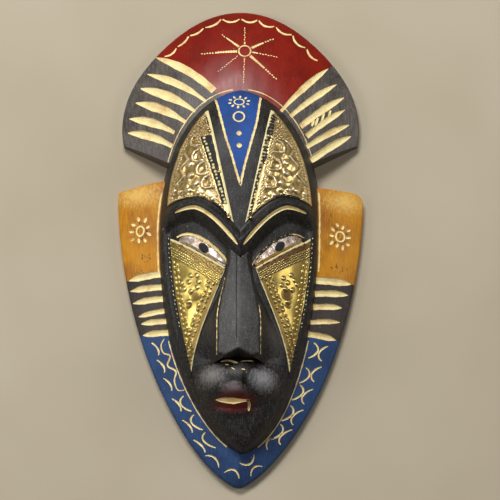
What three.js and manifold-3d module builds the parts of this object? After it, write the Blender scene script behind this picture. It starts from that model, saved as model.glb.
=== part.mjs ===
// A carved and painted wooden mask, with thin metal sheets fixed on its face, lying on its flat back.
// Millimetres. +X runs across the face, +Y from the chin to the crest and +Z out of the face.
// The origin is on the surface that the mask lies on, under the middle of its length and breadth.
// Left and right are the viewer's, so left is -X.

import * as THREE from 'three';
import { mergeVertices } from 'three/addons/utils/BufferGeometryUtils.js';
import Module from 'manifold-3d';

// Driving dimensions: the whole mask
const MASK_LENGTH = 300;
const MASK_WIDTH = 151.2;
const TIP_Y = -MASK_LENGTH / 2;

// The fan-shaped crest: a shallow lobed disc behind the forehead, cut off below on both sides
const CREST = {
  centreY: 75,
  radiusX: 71.3,
  radiusY: 73,
  lobe: 2,
  halfAngle: THREE.MathUtils.degToRad(98.3),
  innerHalfWidth: 34,
  innerBottomY: 45.5,
  innerTopY: 75.5,
  edgeHeight: 6,
  rise: 20,
  slopeWidth: 60,
};

// The shield behind the face: two wings above that run down to a point below the chin
const SHIELD = {
  halfWidth: MASK_WIDTH / 2,
  shoulderY: 32,
  tipShift: -1.2,
  edgeHeight: 6,
  rise: 11,
  slopeWidth: 30,
  wings: [
    { side: -1, outerTopY: 34.2, innerTopY: 39, innerX: 48.6, corner: 2 },
    { side: 1, outerTopY: 32.6, innerTopY: 34.6, innerX: 48.6, corner: 6 },
  ],
};

// The egg-shaped face and the dome of its surface
const FACE = {
  widestY: 5,
  halfWidth: 49.4,
  eyeShift: -1.25,
  chinShift: 1.25,
  topY: 94.6,
  chinY: -131.3,
  edgeHeight: 8,
  crownY: 45,
  crownHeight: 47,
  topHeight: 22,
  chinHeight: 22,
  chinReach: 177,
};

// The features carved on the dome
const BROW = {
  outerY: 16.2, bendX: 29, drop: 26.7, endX: 40, ridge: 2.4, ridgeOffset: 2.6, ridgeHalf: 3.8,
  rowY: 8, bendReach: 55,
};
const BROW_GROOVE_RADIUS = 1.35;
const SOCKET = {
  upperY: 5, upperDepth: 8, middleY: -40, middleDepth: 5, lowerY: -80, lowerDepth: 2, fall: 8,
};
const EYE = {
  x: 23, y: -10, halfLength: 19, above: 7.1, below: 1.6, tilt: THREE.MathUtils.degToRad(32.5), bulge: 2.4,
  skew: 0.35,
};
const NOSE = {
  topY: 8, rootY: -10, rootHeight: 43, tipY: -70, tipHeight: 57, rootHalf: 6, tipHalf: 13.5,
  wideFrom: -8, wideTo: -58, ridgeFall: 0.12, edgeFall: 0.8,
  lipY: -78.5, lipHeight: 43, buriedHeight: 36, buriedSideHeight: 20,
  footTop: 8.2, footSpread: 21.5, footFrom: -22, footTo: -78, fadeFrom: -64, fadeTo: -82,
};
const MUZZLE = { x: -1.5, y: -91, halfWidth: 26, halfHeight: 16, height: 11 };
const MOUTH = { fromX: -15, toX: 5.5, y: -102.3, width: 4.6 };

// Wood below the back's plane, which is cut away flat
const BACK_ALLOWANCE = 4;

// The scooped-out back, where the face is thickest
const HOLLOW = { y: -17, halfLength: 88, halfWidth: 38, depth: 26 };

// The gouged grooves that fan over the crest's two sides, listed from the top down. Each starts near the
// rim, at an angle and a radius about the crest's centre, and bows a little as a share of its length.
const CREST_GOUGES = [
  {
    side: -1, bow: 0.045,
    angles: [49, 59.2, 68, 76.4, 85.2, 92.6], radii: [69.8, 67.6, 67, 67, 69.1, 69.9],
    tilts: [36.1, 31.1, 28.9, 27.3, 23.7, 22.8], lengths: [44.7, 42.9, 38.9, 35.2, 30.4, 29.8],
    widths: [5.6, 5.2, 6.4, 6.3, 5.7, 5.3], ends: [0.85, 0.4, 0.35, 0.4, 0.45, 0.6],
  },
  {
    side: 1, bow: 0.015,
    angles: [55.1, 65.1, 73.3, 80.3, 88.6, 94.7], radii: [66.2, 65.6, 67, 65.6, 67.3, 68.4],
    tilts: [47, 40.2, 39.2, 39.7, 32.7, 36], lengths: [43.1, 37.6, 34.9, 30.9, 31.3, 30.4],
    widths: [4.4, 4.2, 4.6, 4, 4.2, 4.8], ends: [0.5, 0.7, 0.85, 0.9, 0.75, 0.95],
  },
];

// The gouged grooves that cross the two wings, listed from the top down
const WING_GOUGES = [
  {
    side: -1,
    outerY: [-21.8, -28.4, -36.1, -44.6, -49.2, -56.2], margins: [1.6, 1.2, 1.2, 2.4, 2.8, 1.8],
    innerY: [-19.7, -27.8, -35.1, -42.6, -49.1, -56.2], widths: [4.6, 4.3, 4.2, 3.6, 3.8, 4.2],
  },
  {
    side: 1,
    outerY: [-24.1, -31, -39.2, -48.1, -59.2], margins: [2, 2.4, 4.4, 3.2, 2.2],
    innerY: [-23.7, -32.1, -40.4, -49.9, -57.2], widths: [5.2, 4.3, 4.1, 3.3, 4.1],
  },
];
const WING_GOUGE_BOW = 0.015;
const WING_GOUGE_END = 0.95;

// The metal sheets, given for the right side and mirrored for the left
const FOREHEAD = {
  shift: -0.6, innerX: 3.5, outerX: 44.3, aboveBrow: 6.8,
  apex: [19.3, 79], rimTop: [20.8, 78.6], rimBend: [[42.6, 44], [36, 62.5]],
};
const CHEEK = {
  tipInner: [30.2, -86.5], innerBend: [[29, -66], [16.5, -42]], topInner: [9, -21],
  tipOuter: [32.2, -86.5], outerBend: [[36.3, -66], [45, -30]], topOuter: [45.4, 2.2],
};
const EYE_SHEET = { halfLength: 16.8, above: 5.1, below: 1.3 };
const SHEET = 0.8;
const GAP = 0.4;
const NAIL = { headRadius: 1.2, headHeight: 0.8, shankRadius: 0.5, holeRadius: 0.9, length: 6 };
const NAIL_INSET = 2.4;
const LEFT_NAILS_Y = [63.9, 37.4, 8.6];
const RIGHT_NAILS_Y = [8.6];

const { lerp, clamp, smoothstep, degToRad } = THREE.MathUtils;

// Outlines, seen from the front

function crestOutline(angle) {
  const lobe = CREST.lobe * Math.cos(4 * angle);
  return [
    Math.sin(angle) * (CREST.radiusX + lobe),
    CREST.centreY + Math.cos(angle) * (CREST.radiusY + lobe),
  ];
}

function shieldHalfWidth(y) {
  const down = clamp((SHIELD.shoulderY - y) / (SHIELD.shoulderY - TIP_Y + 0.3), 0, 1);
  return SHIELD.halfWidth * (1 - down ** 1.9) ** 0.7;
}

// How far the shield's middle line lies off the mask's
function shieldMiddle(y) {
  return SHIELD.tipShift * smoothstep(-y, 90, -TIP_Y);
}

// The wing's top edge: it slopes a little and has a rounded outer corner.
function wingTop(x) {
  const wing = SHIELD.wings[x < 0 ? 0 : 1];
  const out = clamp((Math.abs(x) - wing.innerX) / (SHIELD.halfWidth - wing.innerX), 0, 1);
  const round = clamp(Math.abs(x) - SHIELD.halfWidth + wing.corner, 0, wing.corner);
  return lerp(wing.innerTopY, wing.outerTopY, out) - wing.corner + Math.sqrt(wing.corner ** 2 - round ** 2);
}

function faceHalfWidth(y) {
  const up = (y - FACE.widestY) / (FACE.topY - FACE.widestY);
  const down = (y - FACE.widestY) / (FACE.chinY - FACE.widestY);
  const share = y > FACE.widestY
    ? (1 - Math.min(up, 1) ** 2.4) ** 0.5
    : (1 - Math.min(down, 1) ** 2.1) ** 0.62;
  return Math.max(FACE.halfWidth * share, 1.5);
}

// How far the face's middle line lies off the mask's, beside the eyes and at the chin
function faceMiddle(y) {
  const byEyes = FACE.eyeShift * smoothstep(-y, -45, -5);
  return byEyes + (FACE.chinShift - FACE.eyeShift) * smoothstep(-y, 60, -FACE.chinY);
}

// Heights of the carved surfaces above the flat back

function crestHeight(x, y) {
  const angle = Math.atan2(x / CREST.radiusX, (y - CREST.centreY) / CREST.radiusY);
  const [edgeX, edgeY] = crestOutline(angle);
  const share = Math.hypot(x, y - CREST.centreY) / Math.hypot(edgeX, edgeY - CREST.centreY);
  const inward = clamp((1 - share) * CREST.radiusX / CREST.slopeWidth, 0, 1);
  return CREST.edgeHeight + CREST.rise * (1 - (1 - inward) ** 2);
}

function shieldHeight(x, y) {
  const slope = shieldHalfWidth(y + 0.5) - shieldHalfWidth(y - 0.5);
  const fromEdge = (shieldHalfWidth(y) - Math.abs(x - shieldMiddle(y))) / Math.hypot(1, slope);
  const inward = clamp(fromEdge / SHIELD.slopeWidth, 0, 1);
  return SHIELD.edgeHeight + SHIELD.rise * (1 - (1 - inward) ** 2);
}

// The height along the middle of the face, without brow, nose or mouth
function crownLine(y) {
  if (y > FACE.crownY) {
    const up = Math.min((y - FACE.crownY) / (FACE.topY - FACE.crownY + 0.4), 1);
    return FACE.topHeight + (FACE.crownHeight - FACE.topHeight) * Math.sqrt(1 - up ** 2);
  }
  const down = (FACE.crownY - y) / FACE.chinReach;
  return FACE.chinHeight + (FACE.crownHeight - FACE.chinHeight) * (1 - down ** 2.6) ** 0.6;
}

function browLine(x) {
  const out = Math.abs(x);
  if (out > BROW.bendX) return BROW.outerY - 0.015 * (out - BROW.bendX) ** 2;
  return BROW.outerY - BROW.drop * (1 - out / BROW.bendX) ** 1.5;
}

// How much longer a step is along Y than square to the brow line
function browStretch(x) {
  const out = Math.max(Math.abs(x), 0.5);
  return Math.hypot(1, browLine(out + 0.5) - browLine(out - 0.5));
}

// How far a point lies above the brow line, square to that line
function aboveBrow(x, y) {
  return (y - browLine(x)) / browStretch(x);
}

function socketDepth(y) {
  const down = clamp((SOCKET.upperY - y) / (SOCKET.upperY - SOCKET.middleY), 0, 1);
  const further = clamp((SOCKET.middleY - y) / (SOCKET.middleY - SOCKET.lowerY), 0, 1);
  return lerp(lerp(SOCKET.upperDepth, SOCKET.middleDepth, down), SOCKET.lowerDepth, further);
}

// The swelling above the mouth
function muzzleHeight(x, y) {
  const room = 1 - ((x - MUZZLE.x) / MUZZLE.halfWidth) ** 2 - ((y - MUZZLE.y) / MUZZLE.halfHeight) ** 2;
  return MUZZLE.height * Math.max(room, 0);
}

function faceHeight(x, y) {
  const across = Math.min(Math.abs(x - faceMiddle(y)) / faceHalfWidth(y), 1);
  const dome = lerp(FACE.edgeHeight, crownLine(y), (1 - across ** 2.6) ** 0.45);
  const above = aboveBrow(x, y);
  const inside = 1 - smoothstep(across, 0.82, 0.97);
  const socket = socketDepth(y) * smoothstep(-above, 0.5, SOCKET.fall) * inside;
  const fromRidge = clamp((above - BROW.ridgeOffset) / BROW.ridgeHalf, -1, 1);
  const ridge = BROW.ridge * Math.cos(fromRidge * Math.PI / 2) ** 2 * inside;
  return dome - socket + ridge + muzzleHeight(x, y);
}

// Solids: joining and cutting

const wasm = await Module();
wasm.setup();

// A closed geometry as a solid, with its flat triangles left out and its faces turned outwards
function solid(geometry) {
  const bare = geometry.clone();
  bare.deleteAttribute('normal');
  bare.deleteAttribute('uv');
  const { index, attributes } = mergeVertices(bare);
  const triangles = [];
  let volume = 0;
  const corners = [new THREE.Vector3(), new THREE.Vector3(), new THREE.Vector3()];
  for (let i = 0; i < index.count; i += 3) {
    const [a, b, c] = [index.getX(i), index.getX(i + 1), index.getX(i + 2)];
    if (a === b || b === c || c === a) continue;
    triangles.push([a, b, c]);
    [a, b, c].forEach((vertex, k) => corners[k].fromBufferAttribute(attributes.position, vertex));
    volume += corners[0].dot(corners[1].cross(corners[2]));
  }
  const outward = volume > 0 ? triangles : triangles.map((triangle) => triangle.reverse());
  return new wasm.Manifold(new wasm.Mesh({
    numProp: 3,
    vertProperties: new Float32Array(attributes.position.array),
    triVerts: new Uint32Array(outward.flat()),
  }));
}

function geometryOf(shape) {
  const { vertProperties, triVerts } = shape.getMesh();
  const geometry = new THREE.BufferGeometry();
  geometry.setAttribute('position', new THREE.BufferAttribute(vertProperties, 3));
  geometry.setIndex(new THREE.BufferAttribute(triVerts, 1));
  geometry.computeVertexNormals();
  return geometry;
}

// A closed block whose front and back are grids. point(u, v, isFront) places each grid point, u and v
// running from -1 to 1.
function gridBlock(columns, rows, point) {
  const block = new THREE.BoxGeometry(2, 2, 2, columns, rows, 1);
  const points = block.attributes.position;
  for (let i = 0; i < points.count; i++) {
    points.setXYZ(i, ...point(points.getX(i), points.getY(i), points.getZ(i) > 0));
  }
  return solid(block);
}

// A grid block with upright sides: place gives each grid point its place, front and back its two heights.
function reliefBlock(columns, rows, place, front, back = () => -BACK_ALLOWANCE) {
  return gridBlock(columns, rows, (u, v, isFront) => {
    const [x, y] = place(u, v);
    return [x, y, (isFront ? front : back)(x, y)];
  });
}

// Spreads grid lines from -1 to 1 so that they stand closer together at both ends.
function closerAtEnds(at, share) {
  return (1 - share) * at + share * Math.sin(at * Math.PI / 2);
}

function crestBlock() {
  return reliefBlock(28, 6, (u, v) => {
    const [outerX, outerY] = crestOutline(u * CREST.halfAngle);
    const innerX = CREST.innerHalfWidth * Math.sin(u * Math.PI / 2);
    const innerY = lerp(CREST.innerBottomY, CREST.innerTopY, Math.cos(u * Math.PI / 2));
    const out = (closerAtEnds(v, 0.3) + 1) / 2;
    return [lerp(innerX, outerX, out), lerp(innerY, outerY, out)];
  }, crestHeight);
}

function shieldBlock() {
  return reliefBlock(20, 22, (u, v) => {
    const up = (v + 1) / 2;
    const rowY = lerp(SHIELD.shoulderY, TIP_Y, Math.sin((1 - up) * Math.PI / 2));
    const x = shieldMiddle(rowY) + shieldHalfWidth(rowY) * Math.sin(u * Math.PI / 2);
    return [x, rowY + (wingTop(x) - SHIELD.shoulderY) * up ** 8];
  }, shieldHeight);
}

// The face's grid bends so that its rows run along the brows, close together on the brow ridge.
function faceBlock() {
  const spaced = (from, to, count, closer = 1) => (
    Array.from({ length: count }, (_, i) => lerp(from, to, (i / count) ** closer))
  );
  const ridgeRows = [-10, -5, 0, BROW.ridgeOffset, BROW.ridgeOffset + BROW.ridgeHalf + 0.1];
  const rows = [
    ...spaced(FACE.chinY, BROW.rowY - 10, 27, 1.3),
    ...ridgeRows.map((offset) => BROW.rowY + offset),
    ...spaced(BROW.rowY + 11, FACE.topY, 15),
    FACE.topY,
  ];
  return reliefBlock(26, rows.length - 1, (u, v) => {
    const rowY = rows[Math.round((v + 1) / 2 * (rows.length - 1))];
    const x = faceMiddle(rowY) + faceHalfWidth(rowY) * closerAtEnds(u, 0.35);
    const offset = rowY - BROW.rowY;
    const bend = (1 - clamp(offset / BROW.bendReach, -1, 1) ** 2) ** 2;
    return [x, rowY + (browLine(x) - BROW.rowY + offset * (browStretch(x) - 1)) * bend];
  }, faceHeight);
}

// How much of the eye's half height is left at a share of its half length. The outer half is the fuller.
function almond(share) {
  return Math.max(1 - share ** 2, 0.01) ** 0.6 * (1 + EYE.skew * share);
}

const eyeHalfHeight = (across) => (across > 0 ? EYE.above : EYE.below);

function eyePoint(side, share, across) {
  const along = EYE.halfLength * share;
  return [
    side * (EYE.x + along * Math.cos(EYE.tilt) - across * Math.sin(EYE.tilt)),
    EYE.y + along * Math.sin(EYE.tilt) + across * Math.cos(EYE.tilt),
  ];
}

// The eyeball's swelling. Its rim starts a little below the wood around it.
function eyeSwell(share, across) {
  const out = Math.min(Math.abs(across) / (almond(share) * eyeHalfHeight(across)), 1);
  return EYE.bulge * Math.sqrt(1 - out ** 2) * (1 - share ** 4) - 0.3;
}

function eyeBlock(side) {
  return gridBlock(10, 6, (u, v, isFront) => {
    const share = Math.sin(u * Math.PI / 2);
    const across = Math.sin(v * Math.PI / 2) * almond(share) * eyeHalfHeight(v);
    const [x, y] = eyePoint(side, share, across);
    return [x, y, faceHeight(x, y) + (isFront ? eyeSwell(share, across) : -4)];
  });
}

// Half the breadth of the nose's front, and of its foot on the cheeks
const noseHalf = (y) => lerp(NOSE.rootHalf, NOSE.tipHalf, smoothstep(-y, -NOSE.wideFrom, -NOSE.wideTo));
const noseFoot = (y) => NOSE.footTop + NOSE.footSpread * smoothstep(-y, -NOSE.footFrom, -NOSE.footTo);

// The nose: a ridge that widens downwards, with sides that slope to the cheeks and fade out at its wings.
// Its underside leans back from the tip's edge to a level line on the lip.
function noseBlock() {
  return gridBlock(16, 8, (u, v, isFront) => {
    const up = (v + 1) / 2;
    const front = Math.min(Math.abs(u) * 2, 1);
    const side = Math.max(Math.abs(u) * 2 - 1, 0);
    const endY = NOSE.tipY - NOSE.edgeFall * front * NOSE.tipHalf - 3 * side;
    const y = lerp(endY, NOSE.topY, up);
    const out = lerp(front * noseHalf(y), noseFoot(y), side);
    const down = (NOSE.rootY - Math.max(y, NOSE.tipY)) / (NOSE.rootY - NOSE.tipY);
    const ridge = lerp(NOSE.rootHeight, NOSE.tipHeight, down);
    const x = Math.sign(u) * out;
    const foot = faceHeight(Math.sign(u) * noseFoot(y), y) - 1.5;
    const slope = lerp(ridge - NOSE.ridgeFall * front * noseHalf(y), foot, side);
    const fade = smoothstep(-y, -NOSE.fadeFrom, -NOSE.fadeTo) * Math.min(side * 2, 1);
    const height = lerp(slope, faceHeight(x, y) - 0.5, fade);
    if (isFront) return [x, y, height];
    const back = lerp(NOSE.buriedHeight, NOSE.buriedSideHeight, side);
    const beyondLip = (height - back) / Math.max(height - NOSE.lipHeight, 8);
    const lean = side > 0 ? 0 : beyondLip * (1 - up) ** 4;
    return [x, lerp(y, NOSE.lipY, lean), back];
  });
}

// The scoop, which opens through the flat back
function hollowCutter() {
  const halfWidthAt = (along) => HOLLOW.halfWidth * Math.max(1 - Math.abs(along) ** 2.4, 0.02) ** 0.5;
  return gridBlock(10, 16, (u, v, isFront) => {
    const along = closerAtEnds(v, 0.6);
    const across = closerAtEnds(u, 0.5);
    const depth = HOLLOW.depth * ((1 - across ** 4) * (1 - along ** 4)) ** 0.3;
    return [
      halfWidthAt(along) * across,
      HOLLOW.y + HOLLOW.halfLength * along,
      isFront ? 1 + depth : -BACK_ALLOWANCE,
    ];
  });
}

// What is kept when the back is cut flat
function aboveBack() {
  const room = new THREE.BoxGeometry(MASK_WIDTH * 2, MASK_LENGTH * 2, MASK_LENGTH);
  return solid(room.translate(0, 0, MASK_LENGTH / 2));
}

// A groove's tool: round below, pointed at its start and stopped square at its end. It follows the
// surface that it cuts, bowed sideways by a length and narrowed to a share of its width at the end.
function gougeCutter(from, to, width, surface, { bow = 0, end = 1, flatness = 0.62, blunt = false } = {}) {
  const start = new THREE.Vector2(...from);
  const along = new THREE.Vector2(...to).sub(start);
  const length = along.length();
  along.normalize();
  const taper = (at) => Math.sin(Math.min(at / 0.38, 1) * Math.PI / 2) ** 0.8;
  const share = (at) => (blunt ? 1 : taper(at) * lerp(1, end, smoothstep(at, 0.45, 1)));
  const profile = [new THREE.Vector2(0, 0)];
  for (const at of blunt ? [0, 0.5, 1] : [0.06, 0.2, 0.38, 0.7, 1]) {
    profile.push(new THREE.Vector2(width * 0.54 * share(at), at * length));
  }
  profile.push(new THREE.Vector2(0, length));
  const tool = new THREE.LatheGeometry(profile, 6, Math.PI / 6);
  const points = tool.attributes.position;
  for (let i = 0; i < points.count; i++) {
    const at = points.getY(i) / length;
    const bend = bow * 4 * at * (1 - at);
    const across = points.getX(i) + bend;
    const x = start.x + along.x * at * length;
    const y = start.y + along.y * at * length;
    const z = surface(x + along.y * bend, y - along.x * bend) + width * 0.04 + points.getZ(i) * flatness;
    points.setXYZ(i, x + along.y * across, y - along.x * across, z);
  }
  return solid(tool);
}

function crestGougeCutters() {
  return CREST_GOUGES.flatMap(({ side, bow, angles, radii, tilts, lengths, widths, ends }) => (
    lengths.map((length, i) => {
      const angle = degToRad(angles[i]);
      const tilt = degToRad(tilts[i]);
      const from = [side * radii[i] * Math.sin(angle), CREST.centreY + radii[i] * Math.cos(angle)];
      const to = [from[0] - side * length * Math.cos(tilt), from[1] - length * Math.sin(tilt)];
      return gougeCutter(from, to, widths[i], crestHeight, { bow: side * bow * length, end: ends[i] });
    })
  ));
}

function wingGougeCutters() {
  return WING_GOUGES.flatMap(({ side, outerY, margins, innerY, widths }) => outerY.map((y, i) => {
    const from = [side * (shieldHalfWidth(y) - margins[i]), y];
    const to = [faceMiddle(innerY[i]) + side * (faceHalfWidth(innerY[i]) - 0.5), innerY[i]];
    const bow = side * WING_GOUGE_BOW * Math.abs(from[0] - to[0]);
    return gougeCutter(from, to, widths[i], shieldHeight, { bow, end: WING_GOUGE_END });
  }));
}

// A round-bottomed groove along the brow line
function browGrooveCutter(side) {
  const points = [];
  for (let i = 0; i <= 6; i++) {
    const x = side * lerp(1.8, BROW.endX, i / 6);
    points.push(new THREE.Vector3(x, browLine(x), faceHeight(x, browLine(x)) + 0.2));
  }
  const section = new THREE.Shape().absarc(0, 0, BROW_GROOVE_RADIUS, 0, Math.PI * 2);
  return solid(new THREE.ExtrudeGeometry(section, {
    steps: 11, curveSegments: 5, bevelEnabled: false, extrudePath: new THREE.CatmullRomCurve3(points),
  }));
}

function mouthCutter() {
  const ends = [[MOUTH.fromX, MOUTH.y], [MOUTH.toX, MOUTH.y]];
  return gougeCutter(...ends, MOUTH.width, faceHeight, { flatness: 1, blunt: true });
}

// The metal sheets: their edges seen from the front, on the right side, each from its lower end up

function onBrowSide(x) {
  return new THREE.Vector2(x, browLine(x) + FOREHEAD.aboveBrow * browStretch(x));
}

const curve = (...points) => new THREE.CubicBezierCurve(...points.map(([x, y]) => new THREE.Vector2(x, y)));
const line = (from, to) => new THREE.LineCurve(new THREE.Vector2(...from), new THREE.Vector2(...to));

const foreheadEdges = {
  inner: line(onBrowSide(FOREHEAD.innerX).toArray(), FOREHEAD.apex),
  outer: curve(onBrowSide(FOREHEAD.outerX).toArray(), ...FOREHEAD.rimBend, FOREHEAD.rimTop),
  lower: (share) => onBrowSide(lerp(FOREHEAD.innerX, FOREHEAD.outerX, share)),
};

const cheekEdges = {
  inner: curve(CHEEK.tipInner, ...CHEEK.innerBend, CHEEK.topInner),
  outer: curve(CHEEK.tipOuter, ...CHEEK.outerBend, CHEEK.topOuter),
};

// A point of a sheet: across it from its inner edge to its outer one, and up it from its lower edge
function sheetPoint({ inner, outer, lower }, across, up) {
  const point = inner.getPoint(up).lerp(outer.getPoint(up), across);
  if (!lower) return point;
  const straight = inner.getPoint(0).lerp(outer.getPoint(0), across);
  return point.add(lower(across).sub(straight).multiplyScalar(1 - up));
}

// A thin sheet that lies over the wood with an even gap
function sheet(side, columns, rows, edges, shift = 0) {
  return reliefBlock(columns, rows, (u, v) => {
    const { x, y } = sheetPoint(edges, (closerAtEnds(u, 0.6) + 1) / 2, (v + 1) / 2);
    return [side * x + shift, y];
  }, (x, y) => faceHeight(x, y) + GAP + SHEET, (x, y) => faceHeight(x, y) + GAP);
}

function eyeSheet(side) {
  return gridBlock(8, 4, (u, v, isFront) => {
    const share = Math.sin(u * Math.PI / 2);
    const half = v > 0 ? EYE_SHEET.above : EYE_SHEET.below;
    const along = share * EYE_SHEET.halfLength / EYE.halfLength;
    const across = Math.sin(v * Math.PI / 2) * almond(share) * half;
    const [x, y] = eyePoint(side, along, across);
    const wood = faceHeight(x, y) + Math.max(eyeSwell(along, across), 0);
    return [x, y, wood + GAP + (isFront ? SHEET : 0)];
  });
}

// A nail stands a little in from the forehead sheet's inner edge. Its seat is the height of its head's
// flat underside.
function nailPlace(side, y) {
  const { y: startY } = foreheadEdges.inner.getPoint(0);
  const { x: edgeX } = foreheadEdges.inner.getPoint((y - startY) / (FOREHEAD.apex[1] - startY));
  const x = side * (edgeX + NAIL_INSET) + FOREHEAD.shift;
  let seat = 0;
  for (let i = 0; i < 8; i++) {
    const turn = i / 8 * Math.PI * 2;
    const [rimX, rimY] = [x + NAIL.headRadius * Math.cos(turn), y + NAIL.headRadius * Math.sin(turn)];
    seat = Math.max(seat, faceHeight(rimX, rimY));
  }
  return { x, y, seat: seat + GAP + SHEET + GAP };
}

function nailGeometry() {
  const nail = new THREE.LatheGeometry([
    new THREE.Vector2(0, -NAIL.length),
    new THREE.Vector2(NAIL.shankRadius, -NAIL.length + 1),
    new THREE.Vector2(NAIL.shankRadius, 0),
    new THREE.Vector2(NAIL.headRadius, 0),
    new THREE.Vector2(NAIL.headRadius * 0.8, NAIL.headHeight * 0.7),
    new THREE.Vector2(0, NAIL.headHeight),
  ], 8);
  return nail.rotateX(Math.PI / 2);
}

function nailHoleCutter({ x, y, seat }) {
  const depth = NAIL.length + 0.5;
  const hole = new THREE.CylinderGeometry(NAIL.holeRadius, NAIL.holeRadius, depth + 2, 8);
  hole.rotateX(Math.PI / 2).translate(x, y, seat + 1 - depth / 2);
  return solid(hole);
}

// The pieces

const mask = new THREE.Group();

const finishes = {
  wood: new THREE.MeshStandardMaterial({ color: '#2a2725', roughness: 0.5, metalness: 0 }),
  brass: new THREE.MeshStandardMaterial({ color: '#c8a24a', roughness: 0.35, metalness: 1 }),
  aluminium: new THREE.MeshStandardMaterial({ color: '#cfc8c4', roughness: 0.35, metalness: 1 }),
};

function addPiece(name, geometry, finish) {
  const piece = new THREE.Mesh(geometry, finish);
  piece.name = name;
  mask.add(piece);
  return piece;
}

const nails = [
  ...LEFT_NAILS_Y.map((y, i) => ({ name: `nail_left_${i + 1}`, ...nailPlace(-1, y) })),
  ...RIGHT_NAILS_Y.map((y) => ({ name: 'nail_right', ...nailPlace(1, y) })),
];
const nailHoles = nails.map(nailHoleCutter);
const cutAll = (shape, cutters) => cutters.reduce((left, cutter) => left.subtract(cutter), shape);

const blocks = [crestBlock(), shieldBlock(), faceBlock(), noseBlock(), eyeBlock(-1), eyeBlock(1)];
const joined = blocks.reduce((all, block) => all.add(block)).intersect(aboveBack());
const carving = cutAll(joined, [
  hollowCutter(),
  ...crestGougeCutters(),
  ...wingGougeCutters(),
  browGrooveCutter(-1),
  browGrooveCutter(1),
  mouthCutter(),
  ...nailHoles,
]);
addPiece('mask_body', geometryOf(carving), finishes.wood);

for (const [sideName, side] of [['left', -1], ['right', 1]]) {
  const forehead = cutAll(sheet(side, 8, 12, foreheadEdges, FOREHEAD.shift), nailHoles);
  addPiece(`forehead_plate_${sideName}`, geometryOf(forehead), finishes.brass);
  addPiece(`cheek_plate_${sideName}`, geometryOf(sheet(side, 8, 13, cheekEdges)), finishes.brass);
  addPiece(`eye_plate_${sideName}`, geometryOf(eyeSheet(side)), finishes.aluminium);
}

for (const { name, x, y, seat } of nails) {
  addPiece(name, nailGeometry(), finishes.brass).position.set(x, y, seat);
}

export default mask;
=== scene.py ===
import math

import bmesh
import bpy
import numpy as np
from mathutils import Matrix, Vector


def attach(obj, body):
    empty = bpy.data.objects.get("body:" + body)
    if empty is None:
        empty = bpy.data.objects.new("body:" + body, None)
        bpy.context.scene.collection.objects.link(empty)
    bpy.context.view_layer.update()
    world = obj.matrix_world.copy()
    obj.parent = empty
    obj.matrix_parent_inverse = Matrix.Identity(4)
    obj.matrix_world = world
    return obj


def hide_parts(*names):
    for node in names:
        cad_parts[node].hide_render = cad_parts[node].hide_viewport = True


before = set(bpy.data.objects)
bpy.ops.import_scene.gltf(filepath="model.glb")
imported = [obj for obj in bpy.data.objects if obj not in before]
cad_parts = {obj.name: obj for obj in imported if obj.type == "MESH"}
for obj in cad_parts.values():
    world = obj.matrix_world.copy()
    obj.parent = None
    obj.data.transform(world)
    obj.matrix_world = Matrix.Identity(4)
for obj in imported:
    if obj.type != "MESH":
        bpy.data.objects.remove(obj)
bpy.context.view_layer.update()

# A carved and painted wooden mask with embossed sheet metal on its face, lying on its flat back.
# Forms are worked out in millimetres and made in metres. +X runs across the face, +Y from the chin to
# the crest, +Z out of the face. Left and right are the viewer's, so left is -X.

MM = 0.001

# The carved forms, mostly as the solids have them. The nose's lower end and the lips are finer here. A
# pair of numbers for an outline, a dome or a crown gives the two powers of an oval.
TIP_Y = -150
CREST = dict(
    centre_y=75, radius_x=71.3, radius_y=73, lobe=2, half_angle=math.radians(98.3),
    inner_half=34, inner_bottom=45.5, inner_top=75.5, edge_height=6, rise=20, slope_width=60,
)
SHIELD = dict(
    half=75.6, shoulder_y=32, tip_shift=-1.2, outline=(1.9, 0.7), edge_height=6, rise=11, slope_width=30,
)
WINGS = {
    -1: dict(outer_top=34.2, inner_top=39, inner_x=48.6, corner=2),
    1: dict(outer_top=32.6, inner_top=34.6, inner_x=48.6, corner=6),
}
FACE = dict(
    widest_y=5, half=49.4, top_y=94.6, chin_y=-131.3, edge_height=8, crown_y=45, crown_height=47,
    top_height=22, chin_height=22, chin_reach=177, eye_shift=-1.25, chin_shift=1.25,
    upper_outline=(2.4, 0.5), lower_outline=(2.1, 0.62), dome=(2.6, 0.45), crown=(2, 0.5),
    lower_crown=(2.6, 0.6), flat_share=0.82, rim_share=0.97,
)
BROW = dict(
    outer_y=16.2, bend_x=29, drop=26.7, inner_power=1.5, outer_fall=0.015, end_x=40, groove_width=2.7,
    ridge=2.4, ridge_offset=2.6, ridge_half=3.8, row_y=8, bend_reach=55,
)
SOCKET = dict(upper_y=5, upper=8, middle_y=-40, middle=5, lower_y=-80, lower=2, fall=8)
EYE = dict(
    x=23, y=-10, half_length=19, above=7.1, below=1.6, skew=0.35, tilt=math.radians(32.5),
    bulge=2.4, depth=4,
)
NOSE = dict(
    top_y=8, root_y=-10, root_height=43, tip_y=-75, tip_height=57.3, root_half=6, tip_half=13.5,
    wide_from=8, wide_to=58, ridge_fall=0.12, edge_fall=0.48, lowest_y=-79.8, lip_y=-77.8,
    lip_height=43, buried=36, buried_side=20, foot_top=8.2, foot_spread=21.5, foot_from=22, foot_to=78,
    fade_from=58, fade_to=80, fade_sunk=0.5, foot_sunk=1.5, fillet=1.3, end_round=1.5, shift=-1,
    tip_bend=0.16,
)
NOSTRIL = dict(inner_x=9, upper_y=-77, share=0.7)
MUZZLE = dict(x=-1.5, y=-91, half_width=26, half_height=16, height=11)
MOUTH = dict(start=(-15, -101.8), end=(5.5, -102.7), width=4.6, blunt=0.35, bow=-0.045, depth=0.45)
LOWER_LIP = dict(x=-4, y=-107.8, half_width=11, half_height=4.5, height=1.6)
UPPER_LIP = dict(x=-4.5, y=-96.6, half_width=9.5, half_height=4.2, height=1.5)
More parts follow.
